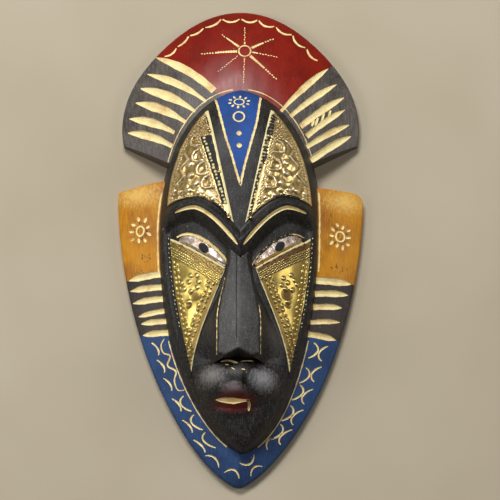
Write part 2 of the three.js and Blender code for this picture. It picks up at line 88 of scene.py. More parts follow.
PHILTRUM = dict(x=2.6, y=-94.5, half_width=2.2, half_height=8, depth=3)
HOLLOW = dict(y=-17, half_length=88, half_width=38, depth=26)
BELOW_BACK = -4
RIM_RADIUS = 0.9

# The metal sheets, given for the right side and mirrored for the left
FOREHEAD = dict(
    shift=-0.6, inner_x=3.5, outer_x=44.3, above_brow=6.8,
    apex=(19.3, 79), rim_top=(20.8, 78.6), rim_bend=((42.6, 44), (36, 62.5)),
)
CHEEK = dict(
    shift=0, tip_inner=(30.2, -86.5), inner_bend=((29, -66), (16.5, -42)), top_inner=(9, -21),
    tip_outer=(32.2, -86.5), outer_bend=((36.3, -66), (45, -30)), top_outer=(45.4, 2.2),
)
EYE_SHEET = dict(half_length=16.8, above=4.7, below=2.6, height=1)

# Gouged grooves, listed from the top down. Each starts near the rim, bows a little as a share of its
# length, and narrows to a share of its width at its end.
CREST_GOUGES = {
    -1: dict(
        bow=0.045, angles=(49, 59.2, 68, 76.4, 85.2, 92.6), radii=(69.8, 67.6, 67, 67, 69.1, 69.9),
        tilts=(36.1, 31.1, 28.9, 27.3, 23.7, 22.8), lengths=(44.7, 42.9, 38.9, 35.2, 30.4, 29.8),
        widths=(5.6, 5.2, 6.4, 6.3, 5.7, 5.3), ends=(0.85, 0.4, 0.35, 0.4, 0.45, 0.6),
    ),
    1: dict(
        bow=0.015, angles=(55.1, 65.1, 73.3, 80.3, 88.6, 94.7),
        radii=(66.2, 65.6, 67, 65.6, 67.3, 68.4),
        tilts=(47, 40.2, 39.2, 39.7, 32.7, 36), lengths=(43.1, 37.6, 34.9, 30.9, 31.3, 30.4),
        widths=(4.4, 4.2, 4.6, 4, 4.2, 4.8), ends=(0.5, 0.7, 0.85, 0.9, 0.75, 0.95),
    ),
}
WING_GOUGES = {
    -1: dict(
        outer_y=(-21.8, -28.4, -36.1, -44.6, -49.2, -56.2), margins=(1.6, 1.2, 1.2, 2.4, 2.8, 1.8),
        inner_y=(-19.7, -27.8, -35.1, -42.6, -49.1, -56.2), widths=(4.6, 4.3, 4.2, 3.6, 3.8, 4.2),
    ),
    1: dict(
        outer_y=(-24.1, -31, -39.2, -48.1, -59.2), margins=(2, 2.4, 4.4, 3.2, 2.2),
        inner_y=(-23.7, -32.1, -40.4, -49.9, -57.2), widths=(5.2, 4.3, 4.1, 3.3, 4.1),
    ),
}
WING_GOUGE_BOW = 0.015
WING_GOUGE_END = 0.95


# Small sums

def lerp(a, b, share):
    return a + (b - a) * share


def smoothstep(x, low, high):
    t = np.clip((x - low) / (high - low), 0, 1)
    return t * t * (3 - 2 * t)


def oval(at, start_power, end_power):
    """Falls from 1 to 0, slowly at first and steeply at last, as an oval's outline does."""
    return (1 - at ** start_power) ** end_power


def closer_at_ends(at, share):
    """Draws values from -1 to 1 closer together near both ends."""
    return (1 - share) * at + share * np.sin(at * math.pi / 2)


def band(value, low, high, soft=0.5):
    """1 where a value lies between two others and 0 outside them, with soft ends."""
    return smoothstep(value, low - soft, low + soft) * (1 - smoothstep(value, high - soft, high + soft))


def round_top(distance, half, height=1):
    """How high a form with a round top stands, this far from its middle."""
    return height * np.maximum(1 - (distance / half) ** 2, 0)


def beside_line(x, y, line):
    """How far each point lies to the left of the way along a line, and how far along it is."""
    (x0, y0), (x1, y1) = line
    run = math.hypot(x1 - x0, y1 - y0)
    beside = ((y - y0) * (x1 - x0) - (x - x0) * (y1 - y0)) / run
    return beside, ((x - x0) * (x1 - x0) + (y - y0) * (y1 - y0)) / run


def trembling(at, middle, swing, first, second, start=0):
    """A share that wavers along a line, by two waves multiplied."""
    return middle + swing * np.sin(at * first + start) * np.sin(at * second)


def uneven(x, y, depth, size):
    """The slight waviness that a hand-cut surface has, about size millimetres from wave to wave."""
    k = 2 * math.pi / size
    waves = np.sin(k * (0.8 * x + 0.5 * y) + 1.3) + np.sin(k * (0.9 * y - 0.45 * x) + 4.1)
    return depth * (waves + np.sin(k * (1.7 * x - 0.3 * y) + 2.2) * 0.5) / 2.5


# Outlines and heights of the carved forms

def crest_outline(angle):
    lobe = CREST["lobe"] * np.cos(4 * angle)
    x = np.sin(angle) * (CREST["radius_x"] + lobe)
    return x, CREST["centre_y"] + np.cos(angle) * (CREST["radius_y"] + lobe)


def crest_share(x, y):
    """How far out a point of the crest lies, from 0 at its centre to 1 at its rim."""
    angle = np.arctan2(x / CREST["radius_x"], (y - CREST["centre_y"]) / CREST["radius_y"])
    edge_x, edge_y = crest_outline(angle)
    return np.hypot(x, y - CREST["centre_y"]) / np.hypot(edge_x, edge_y - CREST["centre_y"])


def from_crest_rim(x, y):
    return (1 - crest_share(x, y)) * CREST["radius_x"]


def board_height(from_rim, form):
    """The height of a board whose top rises in a rounded slope from its rim."""
    inward = np.clip(from_rim / form["slope_width"], 0, 1)
    return form["edge_height"] + form["rise"] * (1 - (1 - inward) ** 2)


def crest_height(x, y):
    return board_height(from_crest_rim(x, y), CREST)


def shield_half(y):
    down = np.clip((SHIELD["shoulder_y"] - y) / (SHIELD["shoulder_y"] - TIP_Y + 0.3), 0, 1)
    return SHIELD["half"] * oval(down, *SHIELD["outline"])


def shield_middle(y):
    """How far the shield's middle line lies off the mask's."""
    return SHIELD["tip_shift"] * smoothstep(-y, 90, -TIP_Y)


def from_shield_edge(x, y):
    slope = shield_half(y + 0.5) - shield_half(y - 0.5)
    return (shield_half(y) - np.abs(x - shield_middle(y))) / np.hypot(1, slope)


def shield_height(x, y):
    return board_height(from_shield_edge(x, y), SHIELD)


def wing_top(x):
    """The wing's top edge: it slopes a little and has a rounded outer corner."""
    half = SHIELD["half"]
    tops = []
    for wing in (WINGS[-1], WINGS[1]):
        out = np.clip((np.abs(x) - wing["inner_x"]) / (half - wing["inner_x"]), 0, 1)
        turn = np.clip(np.abs(x) - half + wing["corner"], 0, wing["corner"])
        level = lerp(wing["inner_top"], wing["outer_top"], out)
        tops.append(level - wing["corner"] + np.sqrt(wing["corner"] ** 2 - turn ** 2))
    return np.where(x < 0, tops[0], tops[1])


def face_half(y):
    up = np.clip((y - FACE["widest_y"]) / (FACE["top_y"] - FACE["widest_y"]), 0, 1)
    down = np.clip((y - FACE["widest_y"]) / (FACE["chin_y"] - FACE["widest_y"]), 0, 1)
    upper, lower = oval(up, *FACE["upper_outline"]), oval(down, *FACE["lower_outline"])
    share = np.where(y > FACE["widest_y"], upper, lower)
    return np.maximum(FACE["half"] * share, 1.5)


def face_middle(y):
    """How far the face's middle line lies off the mask's, beside the eyes and at the chin."""
    by_eyes = FACE["eye_shift"] * smoothstep(-y, -45, -5)
    return by_eyes + (FACE["chin_shift"] - FACE["eye_shift"]) * smoothstep(-y, 60, -FACE["chin_y"])


def crown_line(y):
    """The height along the middle of the face, without brow, nose or mouth."""
    up = np.clip((y - FACE["crown_y"]) / (FACE["top_y"] - FACE["crown_y"] + 0.4), 0, 1)
    down = np.clip((FACE["crown_y"] - y) / FACE["chin_reach"], 0, 1)
    above = lerp(FACE["top_height"], FACE["crown_height"], oval(up, *FACE["crown"]))
    below = lerp(FACE["chin_height"], FACE["crown_height"], oval(down, *FACE["lower_crown"]))
    return np.where(y > FACE["crown_y"], above, below)


def brow_line(x):
    out = np.abs(x)
    inward = 1 - np.minimum(out / BROW["bend_x"], 1)
    beyond_bend = np.maximum(out - BROW["bend_x"], 0)
    inner = BROW["outer_y"] - BROW["drop"] * inward ** BROW["inner_power"]
    return inner - BROW["outer_fall"] * beyond_bend ** 2


def brow_stretch(x):
    """How much longer the brow line is than wide, which turns a height above it to a distance."""
    out = np.maximum(np.abs(x), 0.5)
    return np.hypot(1, brow_line(out + 0.5) - brow_line(out - 0.5))


def socket_depth(y):
    down = np.clip((SOCKET["upper_y"] - y) / (SOCKET["upper_y"] - SOCKET["middle_y"]), 0, 1)
    further = np.clip((SOCKET["middle_y"] - y) / (SOCKET["middle_y"] - SOCKET["lower_y"]), 0, 1)
    return lerp(lerp(SOCKET["upper"], SOCKET["middle"], down), SOCKET["lower"], further)


def mound(x, y, form, power):
    """A smooth swelling over an oval, from 1 in its middle to 0 at its edge."""
    across = (x - form["x"]) / form["half_width"]
    along = (y - form["y"]) / form["half_height"]
    return np.maximum(1 - across ** 2 - along ** 2, 0) ** power


def face_height(x, y):
    across = np.minimum(np.abs(x - face_middle(y)) / face_half(y), 1)
    dome = lerp(FACE["edge_height"], crown_line(y), oval(across, *FACE["dome"]))
    above = (y - brow_line(x)) / brow_stretch(x)
    inside = 1 - smoothstep(across, FACE["flat_share"], FACE["rim_share"])
    socket = socket_depth(y) * smoothstep(-above, 0.5, SOCKET["fall"]) * inside
    from_ridge = np.clip((above - BROW["ridge_offset"]) / BROW["ridge_half"], -1, 1)
    ridge = BROW["ridge"] * np.cos(from_ridge * math.pi / 2) ** 2 * inside
    lips = sum(form["height"] * mound(x, y, form, 1) for form in (LOWER_LIP, UPPER_LIP))
    lips = lips - PHILTRUM["depth"] * mound(x, y, PHILTRUM, 1.5)
    return dome - socket + ridge + MUZZLE["height"] * mound(x, y, MUZZLE, 1) + lips


def nose_half(y):
    """Half the width of the nose's front."""
    return lerp(NOSE["root_half"], NOSE["tip_half"], smoothstep(-y, NOSE["wide_from"], NOSE["wide_to"]))


def nose_foot(y):
    """How far out the nose's sides reach."""
    return NOSE["foot_top"] + NOSE["foot_spread"] * smoothstep(-y, NOSE["foot_from"], NOSE["foot_to"])


def nose_height(x, y):
    """The nose's front and its two sides, with the edges between them worn round."""
    up = (y - NOSE["tip_y"]) / (NOSE["root_y"] - NOSE["tip_y"])
    ridge = lerp(NOSE["tip_height"], NOSE["root_height"], (up + np.hypot(up, NOSE["tip_bend"])) / 2)
    half, foot = nose_half(y), nose_foot(y)
    from_middle = x - NOSE["shift"]
    foot_x = NOSE["shift"] + np.sign(from_middle) * foot
    foot_height = face_height(foot_x, y) - NOSE["foot_sunk"]
    total = 0
    steps = (-1, -0.5, 0, 0.5, 1)
    for step in steps:
        out = np.abs(from_middle + step * NOSE["fillet"])
        side = np.clip((out - half) / (foot - half), 0, 1)
        slope = lerp(ridge - NOSE["ridge_fall"] * np.minimum(out, half), foot_height, side)
        fade = smoothstep(-y, NOSE["fade_from"], NOSE["fade_to"]) * np.minimum(side * 8, 1)
        total = total + lerp(slope, face_height(x, y) - NOSE["fade_sunk"], fade)
    return total / len(steps)


def almond(share):
    """The share of the eye's half height at a share of its half length: more on its outer half."""
    return np.maximum(1 - share ** 2, 0.01) ** 0.6 * (1 + EYE["skew"] * share)


def eye_point(side, share, across):
    along = EYE["half_length"] * share
    cos, sin = math.cos(EYE["tilt"]), math.sin(EYE["tilt"])
    return side * (EYE["x"] + along * cos - across * sin), EYE["y"] + along * sin + across * cos


def eye_swell(share, across):
    half = np.where(across > 0, EYE["above"], EYE["below"])
    out = np.minimum(np.abs(across) / (almond(share) * half), 1)
    return EYE["bulge"] * np.sqrt(1 - out ** 2) * (1 - share ** 4) - 0.3


# Meshes

def new_object(name, bm, *materials):
    mesh = bpy.data.meshes.new(name)
    bm.to_mesh(mesh)
    bm.free()
    for material in materials:
        mesh.materials.append(material)
    obj = bpy.data.objects.new(name, mesh)
    bpy.context.scene.collection.objects.link(obj)
    return obj


def grid_points(columns, rows):
    """A fresh grid, with u and v from -1 to 1 at each of its points."""
    bm = bmesh.new()
    bmesh.ops.create_grid(bm, x_segments=columns, y_segments=rows, size=1)
    at = np.array([vert.co for vert in bm.verts])
    return bm, at[:, 0], at[:, 1]


def place_verts(verts, x, y, z):
    for vert, co in zip(verts, np.stack([x, y, z], axis=1) * MM):
        vert.co = co


def close_below(bm, lower):
    """Walls from the grid's rim down to where lower puts each rim point, and a flat face below."""
    rim = [edge for edge in bm.edges if edge.is_boundary]
    walls = bmesh.ops.extrude_edge_only(bm, edges=rim)["geom"]
    feet = [item for item in walls if isinstance(item, bmesh.types.BMVert)]
    for vert in feet:
        vert.co = Vector(lower(*(vert.co / MM))) * MM
    loop = [edge for edge in bm.edges if edge.is_boundary]
    bmesh.ops.edgeloop_fill(bm, edges=loop)
    bmesh.ops.recalc_face_normals(bm, faces=bm.faces[:])


def carved_block(name, columns, rows, place, height, material):
    """A block of wood with a carved top: place bends the grid and height raises it."""
    bm, u, v = grid_points(columns, rows)
    x, y = place(u, v)
    place_verts(bm.verts, x, y, height(x, y))
    close_below(bm, lambda x, y, z: (x, y, BELOW_BACK))
    return new_object(name, bm, material)


def crest_place(u, v):
    outer_x, outer_y = crest_outline(u * CREST["half_angle"])
    inner_x = CREST["inner_half"] * np.sin(u * math.pi / 2)
    inner_y = lerp(CREST["inner_bottom"], CREST["inner_top"], np.cos(u * math.pi / 2))
    out = (closer_at_ends(v, 0.6) + 1) / 2
    return lerp(inner_x, outer_x, out), lerp(inner_y, outer_y, out)


def shield_place(u, v):
    up = (v + 1) / 2
    row_y = lerp(SHIELD["shoulder_y"], TIP_Y, np.sin((1 - up) * math.pi / 2))
    x = shield_middle(row_y) + shield_half(row_y) * np.sin(u * math.pi / 2)
    return x, row_y + (wing_top(x) - SHIELD["shoulder_y"]) * up ** 8


def face_place(u, v):
    """The rows run along the brows."""
    row_y = lerp(FACE["chin_y"], FACE["top_y"], (closer_at_ends(v, 0.3) + 1) / 2)
    x = face_middle(row_y) + face_half(row_y) * closer_at_ends(u, 0.75)
    offset = row_y - BROW["row_y"]
    bend = (1 - np.clip(offset / BROW["bend_reach"], -1, 1) ** 2) ** 2
    return x, row_y + (brow_line(x) - BROW["row_y"] + offset * (brow_stretch(x) - 1)) * bend


def rounded(from_edge, radius):
    """How much a corner of this radius lies below the surface, this far from the edge."""
    room = np.clip(radius - from_edge, 0, radius)
    return radius - np.sqrt(radius ** 2 - room ** 2)


def crest_top(x, y):
    from_rim = from_crest_rim(x, y)
    wavy = uneven(x, y, 0.12, 17) * smoothstep(from_rim, 0, 6)
    return crest_height(x, y) - rounded(from_rim, RIM_RADIUS) + wavy


def shield_top(x, y):
    from_edge = from_shield_edge(x, y)
    from_rim = np.minimum(from_edge, wing_top(x) - y)
    wavy = uneven(x, y, 0.12, 15) * smoothstep(from_edge, 0, 6)
    return shield_height(x, y) - rounded(from_rim, RIM_RADIUS) + wavy


def face_top(x, y):
    return face_height(x, y) + uneven(x, y, 0.1, 13)


def nose_block(material):
    """Its underside leans back from the tip's edge to a level line on the lip."""
    bm, u, v = grid_points(72, 90)
    front, side = np.minimum(np.abs(u) * 2, 1), np.maximum(np.abs(u) * 2 - 1, 0)
    sloping_end = NOSE["tip_y"] - NOSE["edge_fall"] * front * NOSE["tip_half"]
    end_y = np.maximum(sloping_end, NOSE["lowest_y"]) - side
    y = lerp(end_y, NOSE["top_y"], (closer_at_ends(v, 0.6) + 1) / 2)
    x = NOSE["shift"] + np.sign(u) * lerp(front * nose_half(y), nose_foot(y), side)
    z = nose_height(x, y) - rounded(y - end_y, NOSE["end_round"]) * (1 - side)
    outwards = smoothstep(np.abs(x - NOSE["shift"]), NOSTRIL["inner_x"], NOSE["tip_half"])
    downwards = smoothstep(-y, -NOSTRIL["upper_y"], -NOSE["lowest_y"])
    z = lerp(z, face_height(x, y) + 0.6, NOSTRIL["share"] * outwards * downwards)
    place_verts(bm.verts, x, y, z + uneven(x, y, 0.08, 9))
    tip_edge = {round(px, 3): py for px, py, at, out in zip(x, y, v, side) if at == -1 and out == 0}

    def lower(x, y, z):
        if abs(x - NOSE["shift"]) > nose_half(y):
            return x, y, NOSE["buried_side"]
        if abs(tip_edge.get(round(x, 3), y + 1) - y) > 0.01:
            return x, y, NOSE["buried"]
        beyond_lip = (z - NOSE["buried"]) / max(z - NOSE["lip_height"], 8)
        return x, lerp(y, NOSE["lip_y"], beyond_lip), NOSE["buried"]

    close_below(bm, lower)
    return new_object("nose", bm, material)


def eye_block(side, material):
    bm, u, v = grid_points(48, 28)
    share = np.sin(u * math.pi / 2)
    across = np.sin(v * math.pi / 2) * almond(share) * np.where(v > 0, EYE["above"], EYE["below"])
    x, y = eye_point(side, share, across)
    place_verts(bm.verts, x, y, face_height(x, y) + eye_swell(share, across))
    close_below(bm, lambda x, y, z: (x, y, z - EYE["depth"]))
    return new_object("eye", bm, material)


def hollow_cutter(material):
    bm, u, v = grid_points(60, 110)
    along, across = closer_at_ends(v, 0.6), closer_at_ends(u, 0.5)
    half = HOLLOW["half_width"] * np.maximum(1 - np.abs(along) ** 2.4, 0.02) ** 0.5
    x, y = half * across, HOLLOW["y"] + HOLLOW["half_length"] * along
    deep = HOLLOW["depth"] * ((1 - across ** 4) * (1 - along ** 4)) ** 0.3
    place_verts(bm.verts, x, y, 1 + deep + uneven(x, y, 0.7, 19) * np.minimum(deep / 20, 1))
    close_below(bm, lambda x, y, z: (x, y, BELOW_BACK - 2))
    return new_object("hollow", bm, material)


def below_back(material):
    """A big cube whose top lies level with the mask's back."""
    size = 400
    bm = bmesh.new()
    bmesh.ops.create_cube(bm, size=size)
    bmesh.ops.translate(bm, verts=bm.verts, vec=(0, 0, -size / 2))
    bmesh.ops.scale(bm, verts=bm.verts, vec=(MM, MM, MM))
    return new_object("below_back", bm, material)


# Cut grooves. Each is a tool: a round bar that follows the surface and cuts into it.

def groove(xs, ys, width, surface, share=1, depth=0.4, closed=False):
    """A groove this wide through these points, share of full width at each of them."""
    xs, ys = np.asarray(xs, float), np.asarray(ys, float)
    share = np.broadcast_to(share, xs.shape)
    half, deep = width / 2, width * depth
    radius = (half ** 2 + deep ** 2) / (2 * deep)
    z = surface(xs, ys) + (radius - deep) * share
    return dict(points=np.stack([xs, ys, z], axis=1), radii=radius * share, closed=closed)


def along_curve(points):
    """Points about 0.9 mm apart, along a smooth curve through the given ones."""
    given = np.array(points, float)
    steps = np.hypot(*np.diff(given, axis=0).T)
    at = np.concatenate([[0], np.cumsum(steps)])
    fine = np.linspace(0, at[-1], max(int(at[-1] / 0.9), 4))
    if len(given) == 2:
        return np.interp(fine, at, given[:, 0]), np.interp(fine, at, given[:, 1])
    slopes = np.gradient(given, at, axis=0)
    part = np.clip(np.searchsorted(at, fine, side="right") - 1, 0, len(at) - 2)
    room = at[part + 1] - at[part]
    t = ((fine - at[part]) / room)[:, None]
    room = room[:, None]
    curve = (
        (2 * t ** 3 - 3 * t ** 2 + 1) * given[part] + (t ** 3 - 2 * t ** 2 + t) * room * slopes[part]
        + (3 * t ** 2 - 2 * t ** 3) * given[part + 1] + (t ** 3 - t ** 2) * room * slopes[part + 1]
    )
    return curve[:, 0], curve[:, 1]


def scratch(points, width, surface, ends=0.35, wobble=0.12):
    """A thin line drawn with a V-tool: it thins out at both ends and its width trembles."""
    xs, ys = along_curve(points)
    at = np.linspace(0, 1, len(xs))
    share = ends + (1 - ends) * np.sin(at * math.pi) ** 0.5
    tremble = 1 + wobble * np.sin(xs * 3.1 + ys * 2.3) * np.sin(ys * 1.7 - xs * 0.9)
    return groove(xs, ys, width, surface, share * tremble)


def ring(x, y, radius_x, radius_y, width, surface):
    turn = np.arange(28) / 28 * 2 * math.pi
    share = 1 + 0.1 * np.sin(turn * 3 + x)
    xs, ys = x + radius_x * np.cos(turn), y + radius_y * np.sin(turn)
    return groove(xs, ys, width, surface, share, closed=True)


def pip(x, y, width, length, angle, surface):
    """A short seed-shaped cut."""
    at = np.array([-1, -0.6, 0, 0.6, 1])
    share = np.array([0.25, 0.8, 1, 0.8, 0.25])
    reach = at * length / 2
    return groove(x + reach * math.cos(angle), y + reach * math.sin(angle), width, surface, share, 0.35)


def gouge(start, end, width, surface, blunt=0.75, bow=0.0, depth=0.28):
    """A gouge cut: it starts in a round point, swells, and stops at a blunt share of its full width."""
    at = np.linspace(0, 1, 40)
    dx, dy = end[0] - start[0], end[1] - start[1]
    bend = math.copysign(4, dx) * bow * at * (1 - at)
    xs, ys = start[0] + dx * at - dy * bend, start[1] + dy * at + dx * bend
    share = np.sin(np.minimum(at + 0.01, 0.38) / 0.38 * math.pi / 2) ** 0.8
    share = share * lerp(1, blunt, smoothstep(at, 0.45, 1))
    share = share * (1 + 0.04 * np.sin(at * 17 + start[1]) + 0.03 * np.sin(at * 31 + start[0]))
    return groove(xs, ys, width, surface, share, depth)


def crest_gouge_line(side, i):
    form = CREST_GOUGES[side]
    angle, tilt = math.radians(form["angles"][i]), math.radians(form["tilts"][i])
    radius, length = form["radii"][i], form["lengths"][i]
    start = side * radius * math.sin(angle), CREST["centre_y"] + radius * math.cos(angle)
    return start, (start[0] - side * length * math.cos(tilt), start[1] - length * math.sin(tilt))


def wing_gouge_line(side, i):
    form = WING_GOUGES[side]
    outer_y, inner_y = form["outer_y"][i], form["inner_y"][i]
    start = side * (shield_half(outer_y) - form["margins"][i]), outer_y
    return start, (face_middle(inner_y) + side * (face_half(inner_y) - 0.5), inner_y)


def all_gouges():
    for side in (-1, 1):
        crest, wing = CREST_GOUGES[side], WING_GOUGES[side]
        for i, width in enumerate(crest["widths"]):
            yield gouge(*crest_gouge_line(side, i), width, crest_height, crest["ends"][i], crest["bow"])
        for i, width in enumerate(wing["widths"]):
            line = wing_gouge_line(side, i)
            yield gouge(*line, width, shield_height, WING_GOUGE_END, WING_GOUGE_BOW)


def brow_grooves():
    for side in (-1, 1):
        at = np.linspace(0, 1, 44)
        xs = side * lerp(1.8, BROW["end_x"], at)
        share = 0.25 + 0.75 * np.minimum(np.minimum(at / 0.12, (1 - at) / 0.3), 1) ** 0.6
        yield groove(xs, brow_line(xs), BROW["groove_width"], face_height, share, 0.46)


STAR = dict(x=2.5, y=121.3, ring=3.7, ring_width=0.95)
# The star's rays by their directions in degrees: how long each is, the share of it that is one cut, and
# its width. The rest of it is dots.
STAR_RAYS = {
    90: (13.6, 0.15, 1.2), 28: (16.6, 0.55, 1.9), -10: (16, 0.25, 1.3), -44: (23.3, 0.55, 1.9),
    -92: (18, 0.2, 1.1), -139.5: (17.6, 0, 0.9), 182.7: (23.8, 0.6, 2), 140: (14.7, 0.75, 1.6),
}
SCALLOP_ENDS = [
    (-48.2, 121), (-39.9, 126.7), (-32.3, 134.4), (-23, 139.6), (-12, 145.9), (0, 145.8), (11, 145.2),
    (21.8, 140.7), (32.7, 135.5), (41.3, 126.3), (48.7, 117.8),
]
SCALLOP_SAGS = (2.2, 1.4, 1.7, 2.2, 3.3, 3.1, 3.2, 3, 3.1, 2.3)
SCALLOP_WIDTH = 1.7


def hanging_arc(start, end, sag, width, surface, gap=0.0):
    """An arc between two points, bent by sag to the right of the way from the first to the second."""
    at = np.linspace(gap, 1 - gap, 16)
    (x0, y0), (x1, y1) = start, end
    length = math.hypot(x1 - x0, y1 - y0)
    bend = sag * np.sin(at * math.pi) ** 0.75 / length
    share = (0.35 + 0.65 * np.sin(at * math.pi) ** 0.8) * (1 + 0.12 * np.sin(at * 19 + x0))
    xs, ys = lerp(x0, x1, at) + (y1 - y0) * bend, lerp(y0, y1, at) - (x1 - x0) * bend
    return groove(xs, ys, width, surface, share)


def crest_scratches():
    x, y, radius = STAR["x"], STAR["y"], STAR["ring"]
    yield ring(x, y, radius, radius, STAR["ring_width"], crest_height)
    for degrees, (length, solid, width) in STAR_RAYS.items():
        cos, sin = math.cos(math.radians(degrees)), math.sin(math.radians(degrees))
        stop = lerp(radius + 1, radius + length, solid)
        if solid:
            reach = np.linspace(radius + 1, stop, int(length / 0.5))
            share = (1 + 0.2 * np.sin(reach * 3.9 + degrees)) * np.linspace(1, 0.6, len(reach))
            yield groove(x + reach * cos, y + reach * sin, width, crest_height, share)
        for i, reach in enumerate(np.arange(stop + 1.4, radius + length + 0.4, 1.7)):
            aside = 0.18 * math.sin(i * 2.7 + degrees)
            size = lerp(0.75, 0.5, (reach - radius) / length) * width
            yield pip(
                x + reach * cos - aside * sin, y + reach * sin + aside * cos,
                max(size, 0.65), 1.3, math.radians(degrees), crest_height,
            )
    for start, end, sag in zip(SCALLOP_ENDS, SCALLOP_ENDS[1:], SCALLOP_SAGS):
        yield hanging_arc(start, end, sag, SCALLOP_WIDTH, crest_height, 0.06)


CROSS_CUTS = [
    [(43.9, 73), (45.3, 77.4)], [(46, 73.6), (47.9, 78.8)], [(49.8, 75.6), (51.6, 82.4)],
    [(54, 78.2), (55.6, 84.6)],
]
CROSS_CUT_WIDTH = 1.7


def cross_cuts():
    """Four small slanted cuts between two of the right side's gouge cuts."""
    for points in CROSS_CUTS:
        yield scratch(points, CROSS_CUT_WIDTH, crest_height, 0.7)


# Flowers: a ring's two radii and width, the petals' number, first angle, reach, width and length, and
# how loosely they are cut
LEFT_FLOWER = dict(
    x=-61.8, y=8.3, ring=(2.3, 3, 1.25), petals=9, first=math.radians(100), reach=(5.6, 6.8),
    width=2.1, length=3.1, loose=1,
)
RIGHT_FLOWER = dict(
    x=61.2, y=4.8, ring=(2.7, 3.1, 1.25), petals=10, first=math.radians(70), reach=(5.7, 6.9),
    width=2.1, length=3.1, loose=1,
)
WEDGE_FLOWER = dict(
    x=-0.9, y=84, ring=(3, 2.2, 0.8), petals=10, first=0.2, reach=(5.8, 3.9), width=1.5, length=2.1,
    loose=0,
)


def flower(form, surface):
    x, y, loose = form["x"], form["y"], form["loose"]
    yield ring(x, y, *form["ring"], surface)
    for i in range(form["petals"]):
        angle = form["first"] + i * 2 * math.pi / form["petals"]
        stretch = 1 + loose * 0.12 * math.sin(i * 2.4 + x)
        px = x + form["reach"][0] * math.cos(angle) * stretch
        py = y + form["reach"][1] * math.sin(angle) * stretch
        length = form["length"] + loose * 0.5 * math.sin(i * 3.3)
        turned = angle + loose * 0.35 * math.sin(i * 1.9)
        yield pip(px, py, form["width"], length, turned, surface)


# The blue border's curls: rows of short arcs between the face and the rim. Each arc starts at a height
# and at a distance in from the rim, and so it ends, with its middle bent inwards by bulge.
def border_arc(side, y_from, y_to, inset_from, inset_to, bulge):
    at = np.linspace(0, 1, 12)
    ys = lerp(y_from, y_to, at)
    inset = lerp(inset_from, inset_to, at) + 1.15 * bulge * np.sin(at * math.pi) ** 0.75
    share = (0.55 + 0.45 * np.sin(at * math.pi) ** 0.6) * (1 + 0.15 * np.sin(at * 9 + y_from))
    xs = shield_middle(ys) + side * (shield_half(ys) - inset)
    return groove(xs, ys, BORDER_ARC_WIDTH, shield_height, share)


BORDER_ROWS = [
    dict(
        side=-1, starts=(-61.2, -71.9, -83.2, -95.8, -109.1, -121.3), length=8, inset=(5.6, 2.9),
        drift=1.4, bulge=1.5,
    ),
    dict(
        side=1, starts=(-63.3, -76.1, -90, -102.8, -114.9), length=9.4, inset=(5.7, 3.1), drift=0.6,
        bulge=3.3,
    ),
    dict(side=-1, starts=(-94.9, -106.5, -117.6), length=9.5, inset=(11.7, 12.6), drift=0, bulge=-3.7),
    dict(
        side=1, starts=(-62, -77.5, -88, -100.9, -112.5), length=9.6, inset=(15, 12), drift=0,
        bulge=-3.6,
    ),
]
BORDER_WAVE = [
    (-46.6, -59.5), (-48.5, -62.5), (-47.1, -68.1), (-43.3, -69.9), (-44.7, -75.8), (-39.5, -80),
    (-40.5, -85.1), (-37.4, -91.5), (-34.2, -91.4),
]
# Arcs near the tip: where each starts and ends, and how far it is bent
BORDER_CAPS = [
    ((-13.4, -138.6), (-21.5, -131.2), 2.6), ((-0.9, -145.6), (-9.9, -141.8), 3.4),
    ((-0.5, -136.6), (8.2, -131.4), 3.6), ((13.4, -137.9), (6.4, -143.8), 2.7),
    ((20.5, -121), (16.6, -128), 2.4),
]
BORDER_ARC_WIDTH = 1.35
BORDER_WAVE_WIDTH = 1.2


def border_scratches():
    for row in BORDER_ROWS:
        insets = np.linspace(*row["inset"], len(row["starts"]))
        for start, inset in zip(row["starts"], insets):
            end, end_inset = start - row["length"], inset + row["drift"]
            yield border_arc(row["side"], start, end, inset, end_inset, row["bulge"])
    yield scratch(BORDER_WAVE, BORDER_WAVE_WIDTH, shield_height)
    for start, end, sag in BORDER_CAPS:
        yield hanging_arc(start, end, sag, BORDER_ARC_WIDTH, shield_height)


# The blue wedge on the forehead, between two lines that meet above the brows
WEDGE_LEFT = [(-15.9, 89), (-12.4, 73.8), (-8.7, 58.5), (-5.3, 47.8), (-2.9, 38.9), (0, 29)]
WEDGE_RIGHT = [(0, 29), (2.4, 41), (4.8, 50), (7, 58.5), (9.4, 67.5), (12.4, 88.6)]
WEDGE_WIDTH = 1.5
WEDGE_RING = dict(x=-1, y=73.4, radius_x=3.3, radius_y=3.3, width=1.1)
WEDGE_DRILLINGS = [(-0.9, 62.2), (-0.8, 54.2)]
DRILLING = dict(width=3.6, length=3.4, angle=0)


def in_wedge(x, y):
    left, right = (np.interp(y, *np.array(side)[:, ::-1].T) for side in (WEDGE_LEFT[::-1], WEDGE_RIGHT))
    return (y > WEDGE_RIGHT[0][1]) & (x > left) & (x < right)


def wedge_outline():
    left_x, left_y = along_curve(WEDGE_LEFT)
    right_x, right_y = along_curve(WEDGE_RIGHT)
    xs, ys = np.concatenate([left_x, right_x[1:]]), np.concatenate([left_y, right_y[1:]])
    share = trembling(ys, 1, 0.3, 1.9, 0.7, np.sign(xs) * 2)
    return groove(xs, ys, WEDGE_WIDTH, face_height, share)


def wedge_scratches():
    yield from flower(WEDGE_FLOWER, face_height)
    yield ring(**WEDGE_RING, surface=face_height)
    for x, y in WEDGE_DRILLINGS:
        yield pip(x, y, surface=face_height, **DRILLING)


